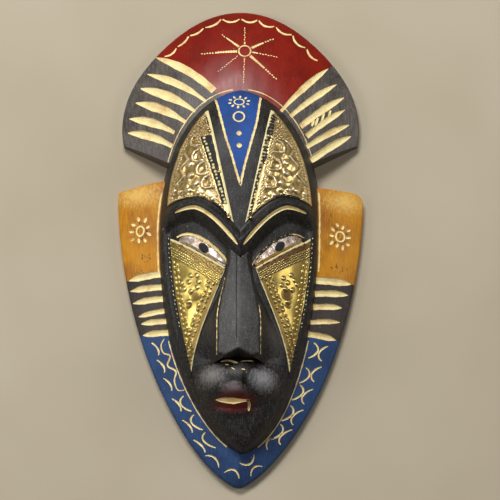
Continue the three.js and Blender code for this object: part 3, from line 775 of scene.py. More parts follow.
# The fine line down the nose, and the lines around the mouth and below the nose, each with its width
NOSE_MIDDLE_LINE = [(-2.4, -12), (-2.4, -68)]
NOSE_MIDDLE_WIDTH = 0.9
LIP_CUTS = [
    ([(4.4, -102.4), (5.3, -104.6), (4.9, -108.4)], 1.7),
    ([(0.1, -80.4), (2.8, -79.6), (8, -79.4)], 1.5),
    ([(-12, -79.6), (-8.6, -79), (-6.3, -79.4), (-4, -80.4), (-1.6, -81)], 2.1),
    ([(-9.3, -82), (-7, -82.4)], 1.1),
    ([(-5.5, -84.3), (-3.3, -85.7)], 0.8),
    ([(0.5, -85.2), (2.8, -85.5)], 0.8),
]
# The lines on the upper lids, and where the paint is worn off the nose's edges
LID_LINES = {-1: dict(width=2.7, below=1.2, broken=0.15), 1: dict(width=1.2, below=0.9, broken=0.4)}
NOSE_WEAR = {
    -1: dict(from_y=-28, points=80, width=1.1, tremble=(0.55, 0.45, 0.47, 1.3, 2)),
    1: dict(from_y=-46, points=50, width=1, tremble=(0.4, 0.6, 1.1, 0.6)),
}


def face_scratches():
    at = np.linspace(-1.02, 1.02, 60)
    for side, line in LID_LINES.items():
        xs, ys = eye_point(side, at, almond(at) * (EYE["above"] - line["below"]))
        share = 0.35 + 0.65 * np.sin((at + 1.02) / 2.04 * math.pi) ** 0.5
        share = share * trembling(at, 1, line["broken"], 13, 31, 1)
        yield groove(xs, ys, line["width"], face_height, share)
    for points, width in LIP_CUTS:
        yield scratch(points, width, face_height)
    for side, line in NOSE_WEAR.items():
        ys = np.linspace(line["from_y"], -78.5, line["points"])
        xs = NOSE["shift"] + side * (nose_half(ys) - 0.2)
        share = np.maximum(trembling(ys, *line["tremble"]), 0.12)
        yield groove(xs, ys, line["width"], nose_height, share)


# Thin cuts along the face's rim: from which height to which, and how wide. The crest has one on each
# side, which goes down from the face's top.
SHIELD_RIM_CUTS = ((-127, -61, 0.95), (-18, 32, 1.3))
CREST_RIM_CUT = dict(reach=40, width=0.9)


def face_rim_lines():
    """Thin cuts where the face meets the wings and the crest. There are none beside the wing gouges."""
    for side in (-1, 1):
        for low, high, width in SHIELD_RIM_CUTS:
            ys = np.linspace(low, high, 90)
            xs = face_middle(ys) + side * (face_half(ys) + 0.4)
            share = trembling(ys, 0.8, 0.25, 0.9, 0.31, side)
            yield groove(xs, ys, width, shield_height, share, 0.5)
        down = CREST_RIM_CUT["reach"] * np.linspace(0.08, 1.12, 70) ** 2
        ys = FACE["top_y"] - down
        share = trembling(ys, 0.75, 0.25, 1.3, 0.5, side)
        xs = side * (face_half(ys) + 0.5)
        yield groove(xs, ys + 0.6, CREST_RIM_CUT["width"], crest_height, share, 0.5)


def tools(name, grooves, material):
    """One object with the tools of many grooves that stay clear of each other."""
    curve = bpy.data.curves.new(name, "CURVE")
    curve.dimensions = "3D"
    curve.bevel_depth = MM
    curve.bevel_resolution = 2
    curve.use_fill_caps = True
    for tool in grooves:
        spline = curve.splines.new("POLY")
        spline.points.add(len(tool["points"]) - 1)
        for point, place, radius in zip(spline.points, tool["points"], tool["radii"]):
            point.co = (*(place * MM), 1)
            point.radius = radius
        spline.use_cyclic_u = tool["closed"]
    bars = bpy.data.objects.new(name, curve)
    bpy.context.scene.collection.objects.link(bars)
    bm = bmesh.new()
    bm.from_mesh(bars.to_mesh())
    bmesh.ops.remove_doubles(bm, verts=bm.verts, dist=1e-6)
    bmesh.ops.recalc_face_normals(bm, faces=bm.faces[:])
    bpy.data.objects.remove(bars)
    return new_object(name, bm, material)


def combine(target, operation, tool):
    """Joins the tool to the target or cuts it away."""
    step = target.modifiers.new(tool.name, "BOOLEAN")
    step.operation = operation
    step.object = tool
    step.solver = "MANIFOLD"
    step.material_mode = "TRANSFER"
    depsgraph = bpy.context.evaluated_depsgraph_get()
    result = bpy.data.meshes.new_from_object(target.evaluated_get(depsgraph))
    target.modifiers.clear()
    target.data = result
    bpy.data.objects.remove(tool)


# Materials

def linear(colour):
    """An sRGB hex colour as linear RGBA."""
    parts = [int(colour[i:i + 2], 16) / 255 for i in (1, 3, 5)]
    return (*[c / 12.92 if c <= 0.04045 else ((c + 0.055) / 1.055) ** 2.4 for c in parts], 1)


def feed(node, inputs):
    """Links a node's inputs or sets them."""
    for socket, value in inputs.items():
        if isinstance(value, bpy.types.NodeSocket):
            node.id_data.links.new(value, node.inputs[socket])
        else:
            node.inputs[socket].default_value = linear(value) if isinstance(value, str) else value


def add_node(tree, kind, inputs, out=0, **settings):
    """Adds a node with its settings and inputs, and gives one of its outputs."""
    node = tree.nodes.new(kind)
    for name, value in settings.items():
        setattr(node, name, value)
    feed(node, inputs)
    return node.outputs[out]


def new_finish(name, **sizes):
    """A material, its tree and shader, and a noise pattern for each of the given sizes: the millimetres
    from one patch to the next along X, Y and Z, and how many times its detail is halved."""
    material = bpy.data.materials.new(name)
    material.use_nodes = True
    tree = material.node_tree
    coords = add_node(tree, "ShaderNodeTexCoord", {}, out=3)
    patterns = {"coords": coords}
    for key, (x, y, z, detail) in sizes.items():
        scale = [1 / (size * MM) for size in (x, y, z)]
        place = add_node(tree, "ShaderNodeMapping", {"Vector": coords, "Scale": scale})
        inputs = {"Vector": place, "Scale": 1.0, "Detail": detail, "Roughness": 0.6}
        patterns[key] = add_node(tree, "ShaderNodeTexNoise", inputs)
    return material, tree, tree.nodes["Principled BSDF"], patterns


# Node settings that come up again and again
COLOURS = dict(data_type="RGBA", out=2)
SHARE, A, B = 0, 6, 7


def spread(value, low, high, to_low=0.0, to_high=1.0):
    """The inputs of a node that stretches a value's range to another one and stops at its ends."""
    return {"Value": value, "From Min": low, "From Max": high, "To Min": to_low, "To Max": to_high}


def hollows_of(height, strength, depth):
    return {"Height": height, "Strength": strength, "Distance": depth * MM}


def from_spot(tree, coords, form):
    """How far a point lies from the middle of an oval spot, 1 being its edge."""
    place = add_node(tree, "ShaderNodeMapping", {
        "Vector": coords,
        "Location": (-form["x"] / form["half_x"], -form["y"] / form["half_y"], 0),
        "Scale": (1 / (form["half_x"] * MM), 1 / (form["half_y"] * MM), 0),
    })
    return add_node(tree, "ShaderNodeVectorMath", {0: place}, out=1, operation="LENGTH")


# Acrylic paint, brushed on carved wood and waxed: a satin coat, mottled where it went on unevenly,
# rubbed lighter in fine streaks and specks down the grain, with tiny chips that show the wood. Patches
# of other colours with ragged edges lie over it, some of them painted sheen, and in worn spots the chips
# crowd together. Streaks and specks are drawn half a millimetre wide or more, because real ones are too
# fine to show.
def waxed_paint(
    name, main, deep, rubbed, rub, fleck="#d9c48c", speck=0.15, sheen=(0.42, 0.6), over=(), worn=(),
):
    material, tree, shader, at = new_finish(
        name,
        mottle=(15, 22, 15, 3), streak=(0.7, 7, 2, 4), grit=(0.5, 0.8, 0.5, 2), chip=(1.3, 2, 1.3, 3),
    )
    deeper = add_node(tree, "ShaderNodeMapRange", spread(at["mottle"], 0.4, 0.66))
    colour = add_node(tree, "ShaderNodeMix", {SHARE: deeper, A: main, B: deep}, **COLOURS)
    streaked = add_node(tree, "ShaderNodeMapRange", spread(at["streak"], 0.48, 0.74, 0.0, rub))
    colour = add_node(tree, "ShaderNodeMix", {SHARE: streaked, A: colour, B: rubbed}, **COLOURS)
    speckled = add_node(tree, "ShaderNodeMapRange", spread(at["grit"], 0.58, 0.66, 0.0, speck))
    colour = add_node(tree, "ShaderNodeMix", {SHARE: speckled, A: colour, B: rubbed}, **COLOURS)
    chips = at["chip"]
    for form in worn:
        away = from_spot(tree, at["coords"], form)
        nearness = add_node(tree, "ShaderNodeMapRange", spread(away, 0.5, 1.1, 0.17, 0.0))
        chips = add_node(tree, "ShaderNodeMath", {0: chips, 1: nearness}, operation="ADD")
    chipped = add_node(tree, "ShaderNodeMapRange", spread(chips, 0.73, 0.76))
    colour = add_node(tree, "ShaderNodeMix", {SHARE: chipped, A: colour, B: fleck}, **COLOURS)
    # Some of these patches are painted sheen
    for form in over:
        away = from_spot(tree, at["coords"], form)
        ragged = add_node(tree, "ShaderNodeMapRange", spread(at["chip"], 0.3, 0.7, 0.7, 1.3))
        inside = add_node(tree, "ShaderNodeMath", {0: ragged, 1: away}, operation="SUBTRACT")
        within = spread(inside, -0.05, form["fade"], 0.0, form["share"])
        cover = add_node(tree, "ShaderNodeMapRange", within)
        colour = add_node(tree, "ShaderNodeMix", {SHARE: cover, A: colour, B: form["colour"]}, **COLOURS)
    relief = add_node(tree, "ShaderNodeMath", {0: at["streak"], 1: at["grit"]}, operation="ADD")
    feed(shader, {
        "Base Color": colour,
        "Roughness": add_node(tree, "ShaderNodeMapRange", spread(at["streak"], 0.35, 0.7, *sheen)),
        "Specular IOR Level": 0.3,
        "Normal": add_node(tree, "ShaderNodeBump", hollows_of(relief, 0.3, 0.12)),
    })
    return material


# Bare softwood, as the gouge or the saw left it: open and dull, darker in patches where dirt, wax or
# stain has soaked in. Its grain runs along the mask and is drawn half a millimetre wide or more, because
# real fibres are too fine to show.
def bare_wood(name, main, stained, grain=(0.6, 5, 0.8)):
    material, tree, shader, at = new_finish(name, grain=(*grain, 4), stain=(9, 9, 9, 3))
    share = add_node(tree, "ShaderNodeMapRange", spread(at["stain"], 0.48, 0.75, 0.0, 0.65))
    colour = add_node(tree, "ShaderNodeMix", {SHARE: share, A: main, B: stained}, **COLOURS)
    share = add_node(tree, "ShaderNodeMapRange", spread(at["grain"], 0.5, 0.75, 0.0, 0.35))
    feed(shader, {
        "Base Color": add_node(tree, "ShaderNodeMix", {SHARE: share, A: colour, B: stained}, **COLOURS),
        "Roughness": 0.72,
        "Normal": add_node(tree, "ShaderNodeBump", hollows_of(at["grain"], 0.35, 0.15)),
    })
    return material


# Thin brass sheet, embossed by hand over a soft pad and aged: soft pale gold, rubbed bright on what
# stands up, that brightness also being a painted highlight, and brown with old patina in what lies low.
# Paint and glue have smeared it cream and black along some of its edges; the cream also paints
# highlights on bead tops and on the cheek's folded rim. The worn metal's grit is drawn 0.6 mm coarse,
# because the real one is too fine to show.
def embossed_brass(name, bright, rubbed, brown):
    material, tree, shader, at = new_finish(
        name, patina=(7, 7, 7, 3), grit=(0.6, 0.6, 0.6, 2), tear=(2.2, 3.4, 3, 5),
    )
    low, high = (
        add_node(tree, "ShaderNodeAttribute", {}, out=2, attribute_name=kind)
        for kind in ("browned", "rubbed")
    )
    patchy = add_node(tree, "ShaderNodeMapRange", spread(at["patina"], 0.52, 0.8, 0.0, 0.5))
    share = add_node(tree, "ShaderNodeMath", {0: low, 1: patchy}, operation="MAXIMUM")
    # What stands higher takes the rubbed colour, which is also a painted highlight
    colour = add_node(tree, "ShaderNodeMix", {SHARE: high, A: bright, B: rubbed}, **COLOURS)
    colour = add_node(tree, "ShaderNodeMix", {SHARE: share, A: colour, B: brown}, **COLOURS)
    bare = add_node(tree, "ShaderNodeMapRange", spread(share, 0.4, 1.0, 1.0, 0.55))
    ragged = add_node(tree, "ShaderNodeMapRange", spread(at["tear"], 0.3, 0.7, -0.5, 0.5))
    for attribute, tint in (("cream", "#ddd09a"), ("black", "#141312")):
        smear = add_node(tree, "ShaderNodeAttribute", {}, out=2, attribute_name=attribute)
        torn = add_node(tree, "ShaderNodeMath", {0: smear, 1: ragged}, operation="ADD")
        cover = add_node(tree, "ShaderNodeMapRange", spread(torn, 0.46, 0.54))
        colour = add_node(tree, "ShaderNodeMix", {SHARE: cover, A: colour, B: tint}, **COLOURS)
        left = add_node(tree, "ShaderNodeMath", {0: 1.0, 1: cover}, operation="SUBTRACT")
        bare = add_node(tree, "ShaderNodeMath", {0: bare, 1: left}, operation="MULTIPLY")
    feed(shader, {
        "Base Color": colour,
        "Metallic": bare,
        "Roughness": add_node(tree, "ShaderNodeMapRange", spread(bare, 0.0, 1.0, 0.75, 0.33)),
        "Normal": add_node(tree, "ShaderNodeBump", hollows_of(at["grit"], 0.15, 0.08)),
    })
    return material


# Thin sheet of dull silver-coloured metal, pressed over the eyeball: a tarnished grey, browner at its
# corners and below, golden under a fold, with a pupil of black paint. Its grit is drawn coarse too.
def tarnished_silver():
    material, tree, shader, at = new_finish(
        "tarnished_silver_sheet", patina=(3, 3, 3, 4), grit=(0.5, 0.5, 0.5, 3),
    )
    low, gold, black = (
        add_node(tree, "ShaderNodeAttribute", {}, out=2, attribute_name=kind)
        for kind in ("browned", "gold", "black")
    )
    patchy = add_node(tree, "ShaderNodeMapRange", spread(at["patina"], 0.38, 0.62, 0.0, 0.85))
    share = add_node(tree, "ShaderNodeMath", {0: low, 1: patchy}, operation="MAXIMUM")
    colour = add_node(tree, "ShaderNodeMix", {SHARE: share, A: "#e0d4cc", B: "#866848"}, **COLOURS)
    colour = add_node(tree, "ShaderNodeMix", {SHARE: gold, A: colour, B: "#c3a15c"}, **COLOURS)
    feed(shader, {
        "Base Color": add_node(
            tree, "ShaderNodeMix", {SHARE: black, A: colour, B: "#0b0a0a"}, **COLOURS,
        ),
        "Metallic": add_node(tree, "ShaderNodeMapRange", spread(black, 0.0, 1.0, 0.85, 0.0)),
        "Roughness": add_node(tree, "ShaderNodeMapRange", spread(black, 0.0, 1.0, 0.45, 0.8)),
        "Normal": add_node(tree, "ShaderNodeBump", hollows_of(at["grit"], 0.25, 0.1)),
    })
    return material


# Brass nails, stamped and left bare: bright, with brown tarnish in small patches
def nail_brass():
    material, tree, shader, at = new_finish("tarnished_nail_brass", patina=(1.5, 1.5, 1.5, 3))
    share = add_node(tree, "ShaderNodeMapRange", spread(at["patina"], 0.4, 0.7))
    colours = {SHARE: share, A: "#c8ad70", B: "#66492a"}
    feed(shader, {
        "Base Color": add_node(tree, "ShaderNodeMix", colours, **COLOURS),
        "Metallic": 1,
        "Roughness": 0.32,
    })
    return material


# The ground that the mask lies on: a plain, matt and pale board
def pale_floor():
    material, tree, shader, at = new_finish("pale_floor", cloud=(120, 120, 120, 2))
    share = add_node(tree, "ShaderNodeMapRange", spread(at["cloud"], 0.3, 0.7))
    colours = {SHARE: share, A: "#b0a590", B: "#a89c85"}
    feed(shader, {
        "Base Color": add_node(tree, "ShaderNodeMix", colours, **COLOURS),
        "Roughness": 0.8,
    })
    return material


# The carved body

def above_lines(x, y, left, right):
    """Whether each point lies above the line on its own side of the mask."""
    above_left, above_right = (beside_line(x, y, sorted(line))[0] for line in (left, right))
    return np.where(x < 0, above_left, above_right) > 0


def split_along(obj, line):
    """Parts the faces of one side of a block along a line, so that its paint can change there."""
    bm = bmesh.new()
    bm.from_mesh(obj.data)
    (x0, y0), (x1, y1) = line
    near = [face for face in bm.faces if face.calc_center_median().x * x0 > 0]
    parts = {item for face in near for item in (face, *face.edges, *face.verts)}
    bmesh.ops.bisect_plane(
        bm, geom=list(parts), dist=1e-7, plane_co=(x0 * MM, y0 * MM, 0), plane_no=(y1 - y0, x0 - x1, 0),
    )
    bm.to_mesh(obj.data)
    bm.free()


def carved_body():
    crest_paint, shield_paint, face_paint = (
        bpy.data.materials.new(name) for name in ("crest_paint", "shield_paint", "face_paint")
    )
    cut_wood = bare_wood("bare_cut_wood", "#ecdca2", "#bd8747")
    back_wood = bare_wood("stained_back_wood", "#5a3f2a", "#2f2016", (1.2, 26, 2))
    scooped_wood = bare_wood("scooped_bare_wood", "#a9824f", "#6c4a2a", (1, 18, 2))

    body = carved_block("mask_body_carved", 236, 72, crest_place, crest_top, crest_paint)
    shield = carved_block("shield", 132, 170, shield_place, shield_top, shield_paint)
    for side in (-1, 1):
        split_along(body, crest_gouge_line(side, 0))
        split_along(shield, wing_gouge_line(side, 0))
        split_along(shield, wing_gouge_line(side, -1))
    combine(body, "UNION", shield)
    combine(body, "UNION", carved_block("face", 140, 250, face_place, face_top, face_paint))
    combine(body, "UNION", nose_block(face_paint))
    for side in (-1, 1):
        combine(body, "UNION", eye_block(side, face_paint))
    combine(body, "DIFFERENCE", below_back(back_wood))
    combine(body, "DIFFERENCE", hollow_cutter(scooped_wood))
    flowers = [*flower(LEFT_FLOWER, shield_height), *flower(RIGHT_FLOWER, shield_height)]
    first = [*all_gouges(), *brow_grooves(), *crest_scratches(), *flowers, wedge_outline()]
    mouth = gouge(surface=face_height, **MOUTH)
    second = [*cross_cuts(), *border_scratches(), *wedge_scratches(), *face_scratches(), mouth]
    middle_line = scratch(NOSE_MIDDLE_LINE, NOSE_MIDDLE_WIDTH, nose_height, 0.6)
    for grooves in (first, second, [*face_rim_lines()]):
        combine(body, "DIFFERENCE", tools("grooves", grooves, cut_wood))
    combine(body, "DIFFERENCE", tools("middle_line", [middle_line], face_paint))
    return body


# Patches on the black face: the red on the lips, rubbed grey paint on the nose's sides, and painted
# sheen, grey over rubbed paint, on the nose's front, the muzzle's two lobes and the upper lip
FACE_PATCHES_WITH_PAINTED_SHINE = [
    # Painted sheen on the nose's front, where the paint is also rubbed
    dict(x=-1.5, y=-46, half_x=10, half_y=27, fade=0.9, share=0.14, colour="#8a8682"),
    # Painted sheen on the muzzle's left and right lobes, where the paint is also rubbed
    dict(x=-17, y=-88, half_x=10, half_y=7.5, fade=0.9, share=0.6, colour="#96938f"),
    dict(x=14, y=-90.5, half_x=9.5, half_y=8.5, fade=0.9, share=0.85, colour="#98979b"),
    dict(x=-19, y=-60, half_x=5, half_y=20, fade=0.9, share=0.08, colour="#6e6a66"),
    dict(x=21, y=-66, half_x=6.5, half_y=17, fade=0.9, share=0.22, colour="#77736f"),
    # A pinkish painted sheen on the upper lip
    dict(x=-4, y=-96.8, half_x=8.5, half_y=4, fade=0.8, share=0.7, colour="#8d7a7e"),
    dict(x=-3.2, y=-103.8, half_x=14.4, half_y=6.2, fade=0.45, share=0.94, colour="#540e0b"),
]

# Painted sheen on the tops of the wings: lighter ochre where they catch the light
PAINTED_WING_SHINE = [
    dict(x=-63, y=31, half_x=17, half_y=9, fade=0.9, share=0.6, colour="#f3cc74"),
    dict(x=64, y=27, half_x=16, half_y=9, fade=0.9, share=0.6, colour="#f3cc74"),
]

# Where the ochre is scuffed through to dark flecks
WORN_SPOTS = [
    dict(x=-58, y=-9, half_x=6, half_y=4), dict(x=60, y=-15, half_x=8, half_y=3.5),
    dict(x=-60, y=-18, half_x=12, half_y=2.5), dict(x=-61.8, y=8.3, half_x=10, half_y=10),
    dict(x=61.2, y=4.8, half_x=10, half_y=10),
]


# Each zone's paint: its name, main, deep and rubbed colours, how much it is rubbed, and what else it has
ZONE_PAINTS = {
    "red": dict(
        name="red_waxed_paint", main="#7f180a", deep="#6c1206", rubbed="#96402e", rub=0.08,
        sheen=(0.3, 0.42),
    ),
    "charcoal": dict(
        name="rubbed_charcoal_paint", main="#524b47", deep="#38332f", rubbed="#8c857e", rub=0.45,
        speck=0.5,
    ),
    "ochre": dict(
        name="ochre_waxed_paint", main="#bc7c00", deep="#945800", rubbed="#e0a62e", rub=0.4,
        # The wing tops get painted sheen
        fleck="#5c3a10", over=PAINTED_WING_SHINE, worn=WORN_SPOTS,
    ),
    "dark": dict(
        name="worn_dark_paint", main="#342b26", deep="#201b18", rubbed="#5c5452", rub=0.4, speck=0.6,
    ),
    "wedge_blue": dict(
        name="wedge_blue_paint", main="#19468e", deep="#153870", rubbed="#4a70aa", rub=0.2,
        sheen=(0.6, 0.8),
    ),
    "blue": dict(
        name="blue_waxed_paint", main="#25426f", deep="#1d345a", rubbed="#5a78a4", rub=0.2,
        sheen=(0.55, 0.75),
    ),
    "black": dict(
        name="black_waxed_paint", main="#110f0e", deep="#0b0a09", rubbed="#5c5753", rub=0.35,
        # The black face gets the lips' red, rubbed patches and painted sheens
        speck=0.75, over=FACE_PATCHES_WITH_PAINTED_SHINE,
    ),
}


def paint_zones(body):
    """Gives each face of the carved surface the paint of the zone that it lies in."""
    mesh = body.data
    count = len(mesh.polygons)
    centres, old = np.empty(count * 3), np.empty(count, int)
    mesh.polygons.foreach_get("center", centres)
    mesh.polygons.foreach_get("material_index", old)
    x, y = centres.reshape(-1, 3).T[:2] / MM
    names = np.array([material.name for material in mesh.materials])[old]
    red, ochre, dark = (
        above_lines(x, y, line(-1, i), line(1, i))
        for line, i in ((crest_gouge_line, 0), (wing_gouge_line, 0), (wing_gouge_line, -1))
    )
    crest, shield, face = (names == name for name in ("crest_paint", "shield_paint", "face_paint"))
    wedge = face & in_wedge(x, y)
    zone = np.select(
        [crest & red, crest, shield & ochre, shield & dark, shield, wedge, face],
        ["red", "charcoal", "ochre", "dark", "blue", "wedge_blue", "black"],
        names,
    )
    finishes = {material.name: material for material in mesh.materials}
    finishes.update({key: waxed_paint(**paint) for key, paint in ZONE_PAINTS.items()})
    used = sorted(set(zone))
    mesh.materials.clear()
    for name in used:
        mesh.materials.append(finishes[name])
    mesh.polygons.foreach_set("material_index", np.searchsorted(used, zone).astype(np.int32))


# The metal sheets

def bezier(at, *points):
    """Points along the curve from the first point to the last, drawn towards those between them."""
    points = [np.array(point, float) for point in points]
    while len(points) > 1:
        points = [lerp(a, b, at) for a, b in zip(points, points[1:])]
    return points[0]


def on_brow_side(x):
    return np.stack([x, brow_line(x) + FOREHEAD["above_brow"] * brow_stretch(x)], axis=-1)


def forehead_edges(up):
    first, last = on_brow_side(np.array([FOREHEAD["inner_x"], FOREHEAD["outer_x"]]))
    inner = bezier(up, first, FOREHEAD["apex"])
    return inner, bezier(up, last, *FOREHEAD["rim_bend"], FOREHEAD["rim_top"])


def forehead_place(across, up):
    inner, outer = forehead_edges(up)
    first, last = forehead_edges(0 * up)
    lower = on_brow_side(lerp(FOREHEAD["inner_x"], FOREHEAD["outer_x"], across[:, 0]))
    return lerp(inner, outer, across) + (lower - lerp(first, last, across)) * (1 - up)


def cheek_edges(up):
    inner = bezier(up, CHEEK["tip_inner"], *CHEEK["inner_bend"], CHEEK["top_inner"])
    return inner, bezier(up, CHEEK["tip_outer"], *CHEEK["outer_bend"], CHEEK["top_outer"])


def cheek_place(across, up):
    return lerp(*cheek_edges(up), across)


def dome(x, y, centre, radius, height):
    """How high a round boss stands at each point."""
    return round_top(np.hypot(x - centre[0], y - centre[1]), radius, height)


def ridge(x, y, points, half, height):
    """How high a raised line through these points stands."""
    nearest = np.inf
    for (x0, y0), (x1, y1) in zip(points, points[1:]):
        dx, dy = x1 - x0, y1 - y0
        at = np.clip(((x - x0) * dx + (y - y0) * dy) / (dx * dx + dy * dy), 0, 1)
        nearest = np.minimum(nearest, np.hypot(x - x0 - at * dx, y - y0 - at * dy))
    return round_top(nearest, half, height)


def bead_row(from_edge, along, inset, spacing, radius, height):
    """How high a row of round beads stands, this far in from an edge. Each bead is a little off."""
    number = np.floor(along / spacing)
    offset = (along / spacing - number - 0.5 + 0.1 * np.sin(number * 3.7)) * spacing
    sideways = from_edge - inset - 0.25 * np.sin(number * 2.3 + inset)
    size = radius * (1 + 0.15 * np.sin(number * 5.1))
    return round_top(np.hypot(sideways, offset), size, height)


def stipple(x, y, size, height):
    """Small bumps punched close together."""
    k = 2 * math.pi / size
    warped_x, warped_y = x + uneven(y, x, 0.5, 4), y + uneven(x, y, 0.5, 5)
    return height * np.maximum(np.sin(k * warped_x) * np.sin(k * warped_y), 0) ** 0.7


def hatched(along, sideways):
    """Slanting strokes, 1 on each and 0 between them."""
    return smoothstep(np.sin(2 * math.pi * (along + 0.9 * sideways) / 2.3), -0.3, 0.2)


# The forehead sheets' embossing. A row of beads has its distance from the edge, the step from bead to
# bead, and a bead's radius and height. Each side has the places of its loops, chevrons, bosses and
# dents, the bosses at its foot, the outer line of the smeared strip along the wedge, and from where to
# where the brow's edge is stained black.
RIM_BEADS = [(1.3, 1.9, 0.85, 0.6), (3.2, 2.3, 0.9, 0.5)]
BROW_BEADS = (1.3, 1.9, 0.85, 0.5)
STRIP_BEADS = (4, 2.3, 0.8, 0.6)
BARE_BEADS = (-0.4, 2.3, 0.95, 0.8)
# The strip's raised edge lies this far beyond its outer line
STRIP_EDGE = [(1.9, 0), (2, 0)]
# A loop and a chevron, through these points around the place of each
LOOP = [(-1.5, 4.2), (1.6, 2.8), (3, 0), (2.6, -2.8), (0.5, -3.6), (-3.8, -3.4)]
CHEVRON = [(2, 4.2), (0, 0), (4.9, -4.8)]
# The radius or half width of each form, and how high it stands or how deep it lies
FOREHEAD_SIZES = dict(
    loop=(0.9, 1.2), in_loop=(2.6, 0.6), chevron=(0.85, 1.15), boss=(2.3, 1.3), foot=(1.7, 1.2),
    dent=(2.8, 0.8), strip_edge=(0.5, 0.2),
)
FOREHEAD_RELIEF = {
    -1: dict(
        loops=[(26.9, 58.9), (26, 48.5), (23.3, 39.8), (20.1, 31)],
        chevrons=[(31.4, 46.9), (33.9, 36.5)],
        bosses=[(29.9, 43.8), (30.1, 36.3), (26.9, 31)],
        foot=[
            (40.2, 28.2), (36.8, 26.7), (30.9, 27.1), (25.8, 24.8), (21.6, 22.7), (16.6, 20.3),
            (11.9, 16.3),
        ],
        dents=[(31.8, 40.3), (28.4, 33.6), (34.7, 24.2), (39.4, 25.2), (28.9, 23.6)],
        strip=[(22.5, 60.5), (9.2, 18)], stained=(8, 18),
    ),
    1: dict(
        loops=[(24.6, 53.8), (22.5, 42.3), (19.6, 31)],
        chevrons=[(30.8, 48.4), (35.4, 37.4), (27.3, 59.5)],
        bosses=[(28.7, 44.3), (28.7, 37.5), (25.7, 30.9)],
        foot=[
            (40.1, 26.8), (35.4, 26.6), (30.3, 27.1), (25.7, 26.5), (21.1, 23.2), (16.1, 21.6),
            (12.3, 18.7),
        ],
        dents=[(29.5, 33.9), (25.3, 23.9), (36.3, 24.6), (33, 24.2)],
        strip=[(17.9, 60), (6.6, 8)], stained=(22, 37),
    ),
}


def forehead_relief(side, x, y, from_inner, from_outer, along):
    """The forehead sheet's relief, and how browned, cream and black it is, at each of its points."""
    form, sizes = FOREHEAD_RELIEF[side], FOREHEAD_SIZES
    from_brow = (y - brow_line(x)) / brow_stretch(x) - FOREHEAD["above_brow"]
    beyond_strip, down_strip = beside_line(x, y, form["strip"])
    raised = [bead_row(from_outer, along, *beads) for beads in RIM_BEADS]
    raised += [bead_row(from_brow, x, *BROW_BEADS), bead_row(beyond_strip, along, *STRIP_BEADS)]
    raised += [ridge(beyond_strip, 0, STRIP_EDGE, *sizes["strip_edge"])]
    raised += [ridge(x - cx, y - cy, LOOP, *sizes["loop"]) for cx, cy in form["loops"]]
    raised += [ridge(x - cx, y - cy, CHEVRON, *sizes["chevron"]) for cx, cy in form["chevrons"]]
    raised += [dome(x, y, boss, *sizes["boss"]) for boss in form["bosses"]]
    raised += [dome(x, y, boss, *sizes["foot"]) for boss in form["foot"]]
    dents = sum(dome(x, y, (cx - 0.5, cy), *sizes["in_loop"]) for cx, cy in form["loops"])
    dents = dents + sum(dome(x, y, dent, *sizes["dent"]) for dent in form["dents"])
    in_field = smoothstep(beyond_strip, 4, 6) * smoothstep(from_outer, 3, 5)
    in_field = in_field * smoothstep(from_brow, 2, 5)
    if side < 0:
        beads = bead_row(beyond_strip, down_strip, *BARE_BEADS) * band(y, 17, 61)
        black = smoothstep(from_inner, 1.9, 2.3) * (1 - smoothstep(beyond_strip, 1.3, 1.7))
        black = black * band(y, 17, 61, 1)
        black = np.maximum(black, band(from_inner, 1.8, 3.2) * band(y, 64, 74, 1) * 0.55)
    else:
        beads = 0 * x
        narrow = band(from_inner, 1, 4, 0.6) * band(y, 8, 42, 1)
        broad = band(from_inner, 1, 6, 0.8) * band(y, 42, 76, 1)
        black = np.maximum(narrow, broad) * (0.45 + 0.35 * hatched(along, from_inner))
    brow_stain = (1 - smoothstep(from_brow, 0.8, 1.6)) * band(x, *form["stained"], 1)
    top = smoothstep(y, 58, 62) * smoothstep(from_inner, 2.5, 3.5)
    punched = np.maximum(top, 0.8 * band(beyond_strip, 1.6, 4.4))
    raised += [beads, stipple(x, y, 2.2, 0.8) * punched]
    relief = uneven(x, y, 0.6, 6.8) * in_field - dents + np.max(raised, axis=0)
    browned = np.maximum(0.6 * smoothstep(dents, 0.3, 0.9), 0.45 * punched)
    # Bead tops poke through the black paint and are coloured cream as painted highlights
    bare_highlit_bead = smoothstep(beads, 0.08, 0.25)
    cream = np.maximum(1 - smoothstep(from_inner, 0.8, 3.4), bare_highlit_bead)
    return relief, browned, cream, np.maximum(black, 0.8 * brow_stain) * (1 - bare_highlit_bead)


# The cheek sheets' embossing, with rows of beads and sizes given as above. Each side has the line of
# its uppermost rope, how much its ropes wave and how tarnished it is, then the places of the boss in a
# ring of beads, the deep dent, the broad boss below it, the brown stain in the band, and the beads of
# the ring.
INNER_BEADS = [(3.8, 2.9, 1.05, 1), (6.7, 2.9, 1.05, 1)]
OUTER_BEADS = [(4.3, 2.4, 0.95, 0.9), (6.8, 2.7, 1, 0.9)]
RIM_DOTS = (1.6, 2.1, 0.55, 0.4)
ROPES = dict(count=4, step=1.3, half=0.55)
CHEEK_SIZES = dict(
    bead=(1.45, 0.95), rosette=(1.5, 0.9), round_rosette=(3.8, 0.15), lens=(1.3, 1),
    below_lens=(2.2, 0.6), dent=(3.8, 0.8), stain=(4, 0.8),
)
CHEEK_RELIEF = {
    -1: dict(
        rope=[(45, -3.6), (14.8, -25.4)], weave=0.12, tarnish=0,
        rosette=(31.4, -29.1), dent=(27.5, -37.4), lens=(31.6, -41.3), stain=(26.7, -15.9),
        beads=[
            (30.2, -25.2), (26.6, -25.5), (25.4, -29.3), (26.2, -32.7), (30.2, -35), (34.2, -33),
            (35.8, -29.1),
        ],
    ),
    1: dict(
        rope=[(45, -4.5), (14.8, -22.2)], weave=0.2, tarnish=0.34,
        rosette=(28.9, -29.4), dent=(28.3, -36.6), lens=(29.1, -41.4), stain=(27.9, -14.6),
        beads=[
            (30.9, -24.5), (26.3, -26.9), (33.1, -27.4), (25.1, -31.3), (34.7, -29.8), (31.7, -33.5),
            (27.4, -33.6),
        ],
    ),
}


